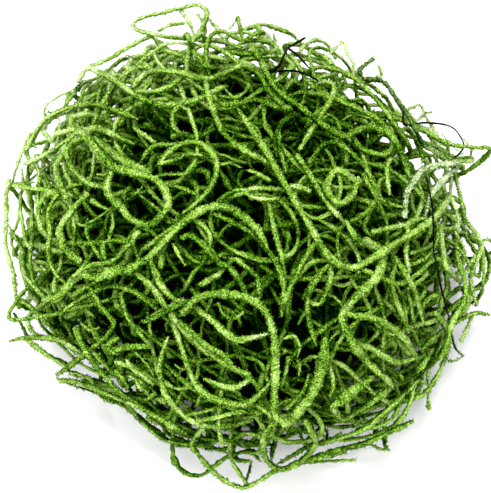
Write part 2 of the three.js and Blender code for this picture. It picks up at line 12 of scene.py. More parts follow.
import bpy
import numpy as np
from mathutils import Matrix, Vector


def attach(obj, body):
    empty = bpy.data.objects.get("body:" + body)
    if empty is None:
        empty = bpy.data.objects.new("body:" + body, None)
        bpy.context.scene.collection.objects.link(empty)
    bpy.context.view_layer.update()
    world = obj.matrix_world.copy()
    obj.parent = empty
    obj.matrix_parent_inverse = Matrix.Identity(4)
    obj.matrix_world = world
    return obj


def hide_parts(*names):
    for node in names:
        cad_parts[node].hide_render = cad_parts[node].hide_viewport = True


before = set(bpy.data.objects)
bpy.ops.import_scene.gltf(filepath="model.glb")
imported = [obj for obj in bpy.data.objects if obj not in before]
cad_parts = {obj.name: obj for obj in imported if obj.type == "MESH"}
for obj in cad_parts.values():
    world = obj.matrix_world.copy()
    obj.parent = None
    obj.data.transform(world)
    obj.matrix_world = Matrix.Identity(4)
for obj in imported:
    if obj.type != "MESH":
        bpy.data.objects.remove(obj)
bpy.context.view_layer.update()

MM = 0.001

# ---- sizes that the part's own source holds ----------------------------------------------------

MOUND = np.array([51.0, 51.0, 33.0])  # half sizes of the mound's ellipsoid
MIDDLE = np.array([0.0, 0.0, 26.0])
STRETCH = 0.05  # how much further the bunch reaches one way across, and less the other way
STRETCH_WAY = math.radians(155)

GAP = 0.35  # kept between one stem and the next
FLOOR_GAP = 0.4
STEEPEST = 0.55  # how steeply a stem climbs over another

TANGLE_STEMS = 83
TANGLE_THICK = 1.4
TANGLE_STEP = 5
TANGLE_SHELL = 1.02  # how far out the loops run, as a share of the mound's size
SHOW_SINK = 0.125  # how much lower they run where they face the eye
SUNK_SHELL = 0.5  # where their ends are
TOP_SHARE = 1.1  # over 1, more of them start on the top than on the underside
TANGLE_SEED = 20261
LOOP_LENGTH = (46, 90)
LOOP_BEND = (0.04, 0.14)  # steady turn to one side, in radians a millimetre
LOOP_SWAY = (0.05, 0.15)
LOOP_SWAY_LENGTH = (24, 54)
LOOP_CLIMB = 0.3  # how much a loop heads upwards where it starts
LOOP_ENDS = 2  # joints at each end of a loop that stay in the heart, whatever they touch

SHOW_ELEVATION = math.radians(62)  # how steeply the photo looks down
EYE_DISTANCE = 520
DRAWING_DROP = 2.4  # how much lower the middle of the drawn routes is than the mound's
ROUTE_SHELL = 0.95  # where the drawn routes lie at first, as a share of the mound's size
RAISED_TO_EYE = 0.85  # 0 raises them straight out of the mound, 1 straight towards the eye

PIECES_PER_SPAN = 2
FORK_FREE = 0.5  # up to here, counted in joints, a fork isn't raised
FORK_CLEAR = 3  # within so many thicknesses of its foot a fork may touch its own stem

GREEN = "moss_green"
PALE = "moss_pale"
DARK = "moss_dark"
BARE = "bare_fibre"


@dataclass
class Stem:
    """A stem on top: its route is drawn flat as seen from the show side, from the lowest to the topmost."""

    name: str
    thick: float
    route: list
    forks: tuple = ()
    colour: str = GREEN
    plump: float = 1.0  # how much thicker its skin is drawn, where scales stand off it all round
    club: float = 1.0  # how much thicker still its far end is
    tone: float = None  # how pale it is, from 0 to 1, where that is known


FIBRES_BELOW = [
    Stem("fibre_upper", 0.7, [
        (35.2, 31.2), (35, 27.4), (36.5, 26.7), (41.2, 27.4), (46.1, 26.3), (48.3, 22.3), (45.6, 19.2),
    ], colour=BARE),
]

STEMS = [
    Stem("stem_left_rim_outer", 1.2, [
        (-51.8, 14.7), (-52.9, 7.6), (-53.2, 0.5), (-51.6, -5.7), (-50.3, -11.5),
    ]),
    Stem("stem_left_rim_inner", 1.2, [(-52.3, 4.7), (-49.6, -0.6), (-47.4, -6.4), (-43.6, -11.5)]),
    Stem("stem_right_rim_upper", 1.2, [
        (46.5, 16.5), (47.8, 10.7), (49, 5.6), (51.6, 0.4), (49.4, -6.4), (51.4, -13),
    ]),
    Stem("stem_right_rim_tip", 1.35, [
        (54.2, -15.2), (51.6, -14.8), (48.7, -15.7), (43.4, -19), (39.4, -22.6),
    ]),
    Stem("stem_low_left_fork", 1.3, [
        (-52.3, -21), (-49, -20.3), (-45.2, -20.3), (-41.2, -20.8), (-36.4, -23.6),
    ], forks=[(1.2, [(-49, -20.3), (-44.3, -23.9), (-39.8, -26.8)])]),
    Stem("stem_bottom_left_rim", 1.3, [
        (-41.4, -29.8), (-37.2, -30.1), (-32, -32.2), (-26.8, -34.3), (-21.2, -36.8), (-13.2, -41.4),
    ], forks=[(1, [(-26.8, -34.5), (-22.8, -39), (-18.3, -42.8), (-12.8, -43.9)])]),
    Stem("stem_bottom_tail", 1.2, [
        (-9, -39.9), (-11.7, -43.2), (-11, -45.4), (-7.2, -49.9), (-2.8, -53), (0.8, -53.2), (5.7, -50.3),
        (7.9, -49.4),
    ], forks=[(1, [(0.8, -53.2), (-3.2, -47.2), (-3.2, -41.2)])]),
    Stem("stem_bottom_loop", 1.5, [
        (7, -38.1), (4.1, -41.2), (4.3, -46.1), (7.4, -49), (12.3, -47.6), (15, -44), (15.2, -42),
        (13.2, -38.5),
    ]),
    Stem("stem_bottom_right_ring", 1.3, [
        (34.3, -34.1), (39.2, -33), (42.5, -28.8), (44.7, -23.4), (44.5, -18.6), (42, -14.6),
    ], forks=[(0.9, [(41, -31), (38.8, -29.6), (37.4, -29.9), (35.4, -32)])]),
    Stem("stem_bottom_right_bar", 1.9, [
        (17.9, -45.6), (25.9, -43.9), (32.5, -40.5), (37, -38.5),
    ], plump=0.8),
    Stem("stem_bottom_right_slope", 1.3, [
        (18.8, -43.4), (23, -41.4), (27.2, -38.8), (31, -35.4), (35, -31.7),
    ]),
    Stem("stem_low_right_thick", 2.4, [
        (19.2, -35.4), (22.4, -33.2), (25.4, -31), (28.4, -28.9),
    ], forks=[(1.4, [(19.2, -35.4), (21.9, -38.3), (28.5, -33.7),
        (31.9, -31.2)])], plump=1.15, tone=0.25),
    Stem("stem_top_flat_loop", 1.2, [
        (-1.2, 43.4), (-9.2, 45.8), (-17, 46.5), (-23.9, 48), (-25, 49.2), (-23.2, 50.7), (-17, 52.3),
        (-11.4, 53.6), (-9.2, 52.9), (-8.5, 51.2), (-10.5, 46.8),
    ], forks=[(1.2, [(-12.6, 46.3), (-11.4, 42.3), (-8.5, 39.4), (-6.1, 39.2)])]),
    Stem("stem_dark_arc", 1.1, [
        (26.3, 36.7), (30.3, 36.7), (33.2, 33.2), (35.6, 28.3), (39.2, 23), (44.1, 18.7), (46.3, 17.6),
    ], forks=[(0.9, [(26.3, 36.7), (25.2, 39), (28.5, 41.8)])], colour=DARK),
    Stem("stem_upper_arc", 1.5, [
        (-35, 40), (-30.1, 36.9), (-23.2, 32.3), (-17.9, 31.2), (-12.1, 31.8), (-6.5, 34.1), (-4.1, 35.4),
    ], tone=0.65),
    Stem("stem_wave_top", 1.4, [
        (-24.8, 35.2), (-21.2, 38.1), (-14.5, 37.6), (-8.1, 36.7), (-3.2, 39.2), (-0.6, 40), (2.1, 39.2),
        (4.6, 37.2),
    ]),
    Stem("stem_left_arc", 1.3, [
        (-48.7, 21.4), (-45.4, 27), (-41, 30.1), (-35.9, 31.4), (-30.5, 30.5), (-23.9, 28.1),
    ]),
    Stem("stem_left_outer_curl", 1.5, [
        (-39.2, 10.5), (-41.8, 16.1), (-41.4, 18.7), (-37.9, 22.7), (-33.9, 25.6), (-31.6, 25.6),
        (-27.2, 23.6), (-24.8, 22.7),
    ]),
    Stem("stem_left_inner_arc", 1.4, [(-39.2, 20.3), (-38.7, 17.8), (-35, 14.1), (-30.7, 13.2)]),
    Stem("stem_left_vertical", 1.7, [
        (-35, 11.8), (-36.7, 10.1), (-40, 5.9), (-41.2, 3.2), (-39.8, -0.8), (-36.6, -3.4),
    ]),
    Stem("stem_left_low_zig", 1.3, [
        (-41.8, -28.5), (-37.2, -25.2), (-32.7, -21.7), (-30.3, -19.2), (-29.2, -16.8), (-32.1, -13.2),
        (-34.5, -9.2), (-37.6, -11),
    ]),
    Stem("stem_left_low_long", 1.4, [(-37.6, -17.9), (-34.7, -23.7), (-30.7, -29.4), (-26.3, -33.7)]),
    Stem("stem_small_hook_fork", 1.5, [
        (-28.3, -20.3), (-30.4, -22), (-29.2, -23.2), (-26.5, -22.3), (-20.8, -22.3),
    ], forks=[(0.9, [(-21.6, -22.3), (-25.9, -16.3), (-27.6, -11)])]),
    Stem("stem_fan_outer", 1.4, [
        (-17.2, -20.1), (-19, -26.1), (-18.1, -32.1), (-14.5, -36.8), (-10.1, -39.4), (-3.4, -39.6),
        (1.5, -38.6),
    ]),
    Stem("stem_fan_middle", 1.4, [
        (-16.8, -14.8), (-14.5, -21.2), (-12.3, -27.7), (-9.4, -32.1), (-2.3, -34.8), (1.2, -34.3),
        (5.7, -29.9),
    ]),
    Stem("stem_right_vertical", 1.4, [
        (32.1, -0.8), (35, -5.7), (37.6, -10.8), (39.4, -16.8),
    ], forks=[(1.3, [(33, -2.4), (32.4, -8.1), (34.1, -13.7), (36.1, -19.2)])]),
    Stem("stem_slim_vertical", 1.1, [
        (28.5, -8.6), (30.7, -15), (30.7, -19.4), (30.3, -23.7), (30.7, -27.4),
    ]),
    Stem("stem_pale", 1.1, [
        (35.2, 6.5), (35.4, 9.6), (36.1, 12.7), (39.4, 17), (42.3, 17.6), (45.6, 17.4),
    ], forks=[(1, [(45.2, 17.4), (41.2, 11.6), (39.8, 6.7)])], colour=PALE, plump=1.5),
    Stem("stem_blunt_right_fork", 1.4, [
        (28.1, 3.2), (32.5, 4.1), (35.4, 4.6), (36.1, 2.6), (35.6, -0.8), (36.3, -5.9),
    ], forks=[(1.3, [(35.4, 4.6), (37.6, 5.8), (39.8, 6.2)])], tone=0.9),
    Stem("stem_centre_right", 1.3, [(11.4, 20.3), (15, 14.3), (18.3, 9.2), (22.1, 5)]),
    Stem("stem_small_ring", 1.4, [
        (25.2, 13.9), (21.6, 16.3), (19.4, 16.3), (17.9, 12.5), (20.5, 9.4), (23.6, 11.2), (24.9, 15.2),
    ], plump=1.25, tone=0.8),
    Stem("stem_right_arc", 1.4, [
        (14.1, 18.5), (17.2, 22.5), (19.6, 23), (22.5, 21.6), (27, 17), (29, 11.6), (28.3, 9.2),
        (26.3, 7.2), (23.2, 5.4),
    ]),
    Stem("stem_hooked_top", 1.3, [
        (13.4, 36.9), (19, 36.3), (19.6, 34.3), (18.3, 31.6), (14.5, 25.6), (11.9, 21.4),
    ]),
    Stem("stem_down_diagonal", 1.5, [
        (-8.8, 36.1), (-7.4, 30.9), (-5.4, 26.1), (-1.7, 22.1), (3.7, 19.2), (5.9, 18),
    ], tone=0.9),
    Stem("stem_short_bridge", 1.5, [(-1.6, 31.6), (2.6, 32.5), (6.8, 31.2), (10.3, 30.5)]),
    Stem("stem_s_wave", 1.6, [
        (1, 44), (3.7, 39.8), (5.9, 35.6), (9.4, 32.7), (16.5, 27.2), (20.1, 25), (22.1, 24.5),
        (23.9, 25.2), (27.6, 26.5), (31.9, 24.7), (34.5, 20.5), (36.3, 15.2),
    ]),
    Stem("stem_mid_ring", 1.4, [
        (-19.4, 18.3), (-15.4, 22.1), (-10.3, 23), (-6.8, 19.6), (-6.8, 15.2), (-9.9, 10.5), (-13.9, 7.4),
    ], forks=[(1.2, [(-19.4, 18.3), (-15.6, 19.2), (-12.8, 20.4), (-9.7, 20.2)])], tone=0.8),
    Stem("stem_left_thick_diagonal", 1.9, [(-33, 23.6), (-27, 18.7), (-21, 16.3)], plump=1.2, tone=0.6),
    Stem("stem_left_ring", 1.7, [
        (-36.7, 26.3), (-33, 21.2), (-29.4, 17.6), (-24.3, 16.1), (-19.6, 14.5), (-17.2, 10.7),
        (-17.6, 8.3), (-21.2, 4.7), (-25.4, 6.1), (-27.4, 8.5), (-29.6, 10.5), (-30.7, 13), (-29.4, 16.3),
    ], plump=1.2, tone=0.7),
    Stem("stem_inverted_v", 1.3, [
        (-10.1, -8.6), (-5.9, -6.1), (-2.8, -3), (-0.8, -3.9), (2.6, -7), (3, -11.7),
    ]),
    Stem("stem_fork_centre", 1.6, [
        (-14.3, 1.9), (-11.9, 2.3), (-8.5, -0.4), (-5.7, -3.7), (-3.4, -4.8), (-0.8, -8.6), (0.3, -11.2),
    ]),
    Stem("stem_club_wave", 1.5, [
        (-21.9, -16.1), (-17, -13.7), (-13.5, -12.1), (-7.7, -16.3), (-3, -20.3), (-0.1, -20.6),
        (4.8, -19.4),
    ], tone=0.9),
    Stem("stem_fan_inner", 1.5, [
        (-25.9, -4.8), (-21.2, -8.6), (-17.2, -13.9), (-12.8, -19.4), (-7, -24.3), (-2.6, -27),
        (0.1, -28.1), (1, -29), (-0.6, -30.5), (-3.4, -31.4), (-9.2, -29.4),
    ]),
    Stem("stem_twin_vertical", 1.2, [(5.2, 9.4), (6.5, 3.2), (8.1, -2.8), (8.9, -9.2)]),
    Stem("stem_parallel_arc", 1.4, [
        (-7.2, 7.4), (-3, 5.4), (1.4, 3), (4.8, -0.8), (7.4, -5.2), (8.5, -10.6), (7.9, -15.5),
    ]),
    Stem("stem_hairpin", 1.2, [
        (14.3, 12.1), (11, 13.2), (7.9, 12.5), (2.8, 12.7), (0.5, 12.2), (0.9, 11), (5, 10.2), (7, 10.6),
    ], tone=1.2),
    Stem("stem_rise_right", 1.3, [
        (8.5, -12.6), (10.8, -7.7), (14.5, -3.7), (16.8, -3.2), (19, -3),
    ], forks=[(1.2, [(10.8, -7.7), (12.5, -3.7), (15.4, 0.8)])]),
    Stem("stem_small_loop_right", 1.2, [
        (14.1, -12.1), (16.5, -12.6), (18.5, -7.9), (18.1, -4.4), (14.5, -9.2), (13.7, -12.6),
        (13.9, -15.9), (15.7, -22.1),
    ]),
    Stem("stem_elbow_fork", 1.8, [
        (22.1, 5.4), (24.8, 1), (26.8, 1), (29.9, -1), (30.3, -2.8), (28.8, -6.6), (25.4, -10.1),
        (22.5, -13.7), (21.2, -16.3), (23.9, -21.7), (27.4, -26.1), (31.2, -29.4), (32.3, -30.8),
    ], forks=[(1.5, [(21.4, -16.6), (28.5, -16.1), (33, -18.6), (36.5, -22.3), (38.3, -25.7)]),
        (1.4, [(23.2, -20.4), (27.6, -22.6), (32.1, -25.2), (34.6, -25.6),
        (37.4, -24.6)])], plump=1.2, club=0.72, tone=0.7),
    Stem("stem_long_diagonal", 1.7, [
        (-44, -11.7), (-40.7, -10.6), (-37.2, -6.8), (-33, -4.8), (-27, -5.5), (-25, -4.8), (-21.4, -2.4),
        (-15, 4.1), (-9.4, 8.1), (-4.8, 8.7), (-1.9, 7.6), (2.6, 3.6), (5, -0.6),
    ], forks=[(1.3, [(-22.6, -3.2), (-18.3, -9.2), (-14.1, -12.8)])], plump=1.15, tone=0.7),
    Stem("stem_steep_diagonal", 1.7, [
        (-1.7, 30.5), (4.3, 21.4), (8.5, 13.9), (11.9, 8.3), (15, 3.2), (17.7, -1.7), (19.4, -3.5),
        (21.4, -4.6), (23.4, -4.8), (25.9, -3.9), (30.7, -1), (35.6, 2.1), (40.3, 5.2), (42.5, 7.4),
        (45.4, 11.2),
    ], tone=0.75),
    Stem("stem_great_hook", 2, [
        (-13.9, -14.8), (-10.1, -11.2), (-3.9, -10.6), (1.7, -12.1), (5.2, -15.9), (6.5, -21.9),
        (6.5, -29.2), (6.3, -35.9), (7.4, -37.7), (9.2, -38.3), (11, -37.4), (14.3, -33.2), (16.8, -27),
        (17.7, -20.3),
    ], tone=0.7, club=1.45),
]

FIBRES_ON_TOP = [
    Stem("fibre_long", 0.7, [
        (40.1, 15.9), (40.7, 8.1), (41.6, -0.8), (43.2, -8.1), (45.2, -16.3),
    ], colour=BARE),
    Stem("fibre_clot", 1, [
        (13.2, 46.3), (9.4, 43.8), (7.4, 40), (5, 38.7), (11.2, 38.7), (16.1, 36.5),
    ], forks=[(0.8, [(9.4, 43.8), (11.6, 42.4), (14.3, 39.4)])], colour=BARE),
]
# More of the stems that show on top: thickness and route. They lie a little lower than those of the part.
LOWER_STEMS = [
    (1.8, [(-46.7, 10.7), (-44.5, 12.5), (-43, 14.7), (-41.8, 17.4)]),
    (1.3, [(35.4, -8.6), (36.5, -11.5), (37.2, -14.3), (37.6, -17.7)]),
    (1.1, [(-41.2, -29.9), (-36.7, -31.9), (-31.9, -33.7), (-26.5, -35.4)]),
    (1.6, [(8.5, -40.5), (7.2, -42.5), (6.1, -44.8), (5.7, -47.2)]),
    (1.1, [(14.3, -32.3), (16.5, -34.1), (19, -36.1), (21.2, -38.5)]),
    (1.6, [(-23.9, 3.6), (-25.6, 1.9), (-26.5, -0.4), (-28.3, -2.4), (-30.5, -3.7)]),
    (1.6, [(-19.4, 5.4), (-19.4, 2.5), (-19.4, -0.8), (-19, -4.6)]),
    (1.3, [(-34.5, 10.5), (-32.7, 9.2), (-30.7, 8.3)]),
    (0.9, [(-35, 6.3), (-35.4, 3.6), (-34.5, 1), (-33, -1.2), (-31.6, -3.5)]),
    (1.1, [(-29.6, 7), (-29.4, 4.8), (-30.1, 2.5), (-30.7, -0.1), (-30.5, -2.4)]),
    (1.6, [(-16.3, 24.3), (-14.5, 25.6), (-11.2, 25.8), (-7, 26.5)]),
    (1.3, [(-16.3, 29.8), (-15.9, 27.6), (-13.7, 25.6)]),
    (0.9, [(-22, 14.5), (-24, 12), (-26, 10.5), (-27.5, 9.5)]),
    (1.3, [(-24, 12), (-21, 9.5), (-18.5, 7.5)]),
    (1.1, [(-25.5, 13), (-27.5, 12), (-27, 9.5)]),
    (1.1, [(-17, 13.5), (-14.5, 13), (-11, 11.5)]),
    (0.9, [(-19.5, 16), (-15.5, 16), (-12.5, 16.5), (-10.5, 18.5), (-9, 19.5)]),
    (1, [(-18.5, 6.5), (-16, 6), (-14.5, 7.5)]),
    (1.2, [(-16, 0.5), (-14.5, -2.5), (-13.5, -4)]),
    (1.1, [(-11, 5.5), (-9.5, 3), (-7.5, 0.5)]),
    (1.6, [(-29.5, -8.5), (-27, -9.5), (-25, -11), (-22, -12.5), (-19.5, -12.5)]),
    (0.9, [(-0.5, 22.5), (1.5, 21), (3, 19.5)]),
    (1.1, [(-6, 18.5), (-3.5, 18.5), (-1, 17.5)]),
    (1.3, [(0.5, 17), (3, 16), (5.5, 14.5)]),
    (1, [(6.5, 25), (6.5, 22.5), (7, 20)]),
    (0.8, [(-5, -2.5), (-1, -2.5), (2.5, -3), (5, -5)]),
    (1, [(8, -2.5), (10, -1), (11.5, 0)]),
    (1.1, [(15.5, 0.5), (14.5, -2), (12.5, -4.5), (10.5, -5.5)]),
    (0.8, [(17, 21), (17.5, 19.5), (18.5, 17.5)]),
    (0.8, [(15.5, 18.5), (18.5, 17.5), (20.5, 17)]),
    (0.9, [(27.5, 25.5), (28, 23), (26.5, 20)]),
    (1.1, [(32, 11.5), (31.5, 15), (31.5, 18), (32.5, 19.5), (34, 18.5)]),
    (1.3, [(19, -3), (21, -1.5), (23, 0), (25, 0.5)]),
    (1.5, [(-26.5, -25), (-25, -27), (-22.5, -29), (-20.5, -30.5)]),
    (1.1, [(-24.5, -23.5), (-22, -26), (-20.5, -28.5)]),
    (1.4, [(-29, -27.5), (-27.5, -29), (-26, -31.5)]),
    (1.9, [(-22, -34), (-20, -32.5)]),
    (1.9, [(-20.5, -35), (-18, -34.5)]),
    (1.3, [(-24, -29.5), (-22, -32), (-21.5, -33.5)]),
    (1.3, [(-36.5, -12.5), (-36.5, -14.5), (-34, -15.5)]),
    (1.3, [(-36.5, -17), (-34.5, -18.5), (-32.5, -18)]),
    (1.8, [(-9, -34), (-7.5, -36), (-5.5, -35.5)]),
    (1.1, [(-10.5, -32), (-10.5, -34.5), (-11.5, -37)]),
    (1, [(-16.5, -27.5), (-15, -28.5), (-13, -29), (-13, -30.5), (-14.5, -31.5), (-17, -31.5)]),
    (0.9, [(-9, -29), (-6, -29.5), (-3.5, -28)]),
    (1, [(-6, -12.5), (-5, -15), (-2.5, -16), (-0.5, -14.5)]),
    (1.2, [(-4, -20), (-3, -22.5), (-1, -26)]),
    (1, [(9.5, -24.5), (9, -27.5), (8, -31)]),
    (1, [(9, -24), (11, -25), (12.5, -27), (12, -29)]),
    (1.1, [(19, -24), (19.5, -27), (19.5, -30.5), (19, -33.5)]),
    (1.2, [(18.5, -21), (19.5, -20), (21, -18.5)]),
    (0.8, [(8.5, -20.5), (11, -20), (12, -22.5), (11.5, -24.5)]),
    (1, [(8.5, -44.5), (10.5, -43.5), (12, -45), (12.5, -47)]),
    (1.2, [(-1.5, -43), (0.5, -45), (3, -47), (6, -49)]),
    (0.7, [(-12.5, 28.5), (-10.5, 27), (-9, 28.5), (-7, 28)]),
    (1, [(-4.5, 35), (-2, 33.5), (0, 32.5)]),
    (1.3, [(-25, 18.5), (-22, 21), (-19, 23), (-16, 24)]),
    (0.7, [(-17, 36.5), (-15.5, 34.5), (-14.5, 33.5)]),
    (1, [(-13.5, 35), (-12, 34.5), (-10.5, 33.5)]),
    (1.3, [(-25, 26.5), (-23, 25), (-20.5, 23.5)]),
    (1.2, [(13, 39), (13.5, 36), (13, 32.5), (12, 31)]),
    (1, [(14, 33.5), (16, 35), (19, 36)]),
    (1.3, [(-20.5, 46.5), (-19, 44.5), (-17, 43.5)]),
    (1.5, [(-16.5, 39), (-15.5, 41), (-14, 42.5)]),
    # The rest aren't in the photo: they close gaps low at the left, through which the floor would show.
    (1.6, [(-29, -25.5), (-26, -27.5), (-23, -30.5), (-20.5, -33)]),
    (1.5, [(-27.5, -29.5), (-24.5, -30.5), (-21.5, -30), (-18.5, -31)]),
    (1.5, [(-24.5, -26.5), (-22.5, -29.5), (-21, -33), (-18.5, -35.5)]),
    (1.5, [(-19, -30), (-16, -33), (-12.5, -35.5), (-9.5, -36.5)]),
    (1.5, [(-16, -29), (-14.5, -32), (-12, -34.5)]),
    (1.4, [(-12.5, -31.5), (-9, -34), (-5.5, -35.5), (-2, -36.5)]),
    (1.7, [(-28.5, -30.5), (-25.5, -32.5), (-22, -33.5), (-18.5, -35)]),
    (1.6, [(-26, -29), (-24, -31.5), (-22.5, -34.5)]),
    (1.7, [(-17, -34.5), (-13.5, -36.5), (-9.5, -38), (-5.5, -38.5)]),
    (1.6, [(-15, -32.5), (-12.5, -35.5), (-10.5, -39)]),
    (1.5, [(-13, -38.5), (-9, -36), (-5, -35)]),
]

# Stems like those, which lie over the part's own.
OVER_STEMS = [
    (1.4, [(-39, 19), (-39, 21), (-36.5, 22.5), (-34, 23), (-32, 20.5), (-29.5, 17.5)]),
    (1.4, [(-33, 16), (-31.5, 16), (-29.5, 17.5)]),
    (1.2, [(-38.5, -7.5), (-35.5, -5), (-32.5, -4), (-29.5, -3.5), (-27, -1), (-25.5, 0.5)]),
    (2.2, [(-35.5, -6.5), (-33, -7), (-31, -6.5), (-27, -5)]),
    (1.1, [(-5, 26), (-1.5, 24.5), (1, 24), (3, 23)]),
    (1.3, [(7.5, 25.5), (7.5, 23), (8, 20), (9, 16.5)]),
    (1.2, [(17, 28), (18.5, 29), (20, 28), (21, 26)]),
    (1.2, [(26, 16), (27.5, 13), (29, 10.5), (30.5, 7), (31.5, 6)]),
    (1.2, [(29, 10.5), (31.5, 9.5), (35, 8.5)]),
    (1.3, [(-10.5, -38), (-7.5, -37.5), (-3.5, -36.5), (0, -36), (3, -36.5)]),
    (1.3, [(-14.5, -16.5), (-11, -19.5), (-8.5, -22), (-5.5, -23.5), (-3, -26)]),
    (1.3, [(9, -36), (11, -34), (13, -31.5), (14, -28.5)]),
    (1.2, [(-14.5, 25), (-16, 26.5), (-16, 29), (-14.5, 30.5), (-13, 30)]),
    (1.3, [(-7, 32.5), (-5, 31), (-1.5, 31.5)]),
    (1.5, [(-1, 39.5), (2, 38.5), (3.5, 36.5), (5, 34), (8, 31)]),
    (1.3, [(-21.5, -16.5), (-18.5, -15), (-15.5, -13.5), (-12.5, -12)]),
    (2.2, [(-22.5, -16.5), (-21, -16.5)]),
]

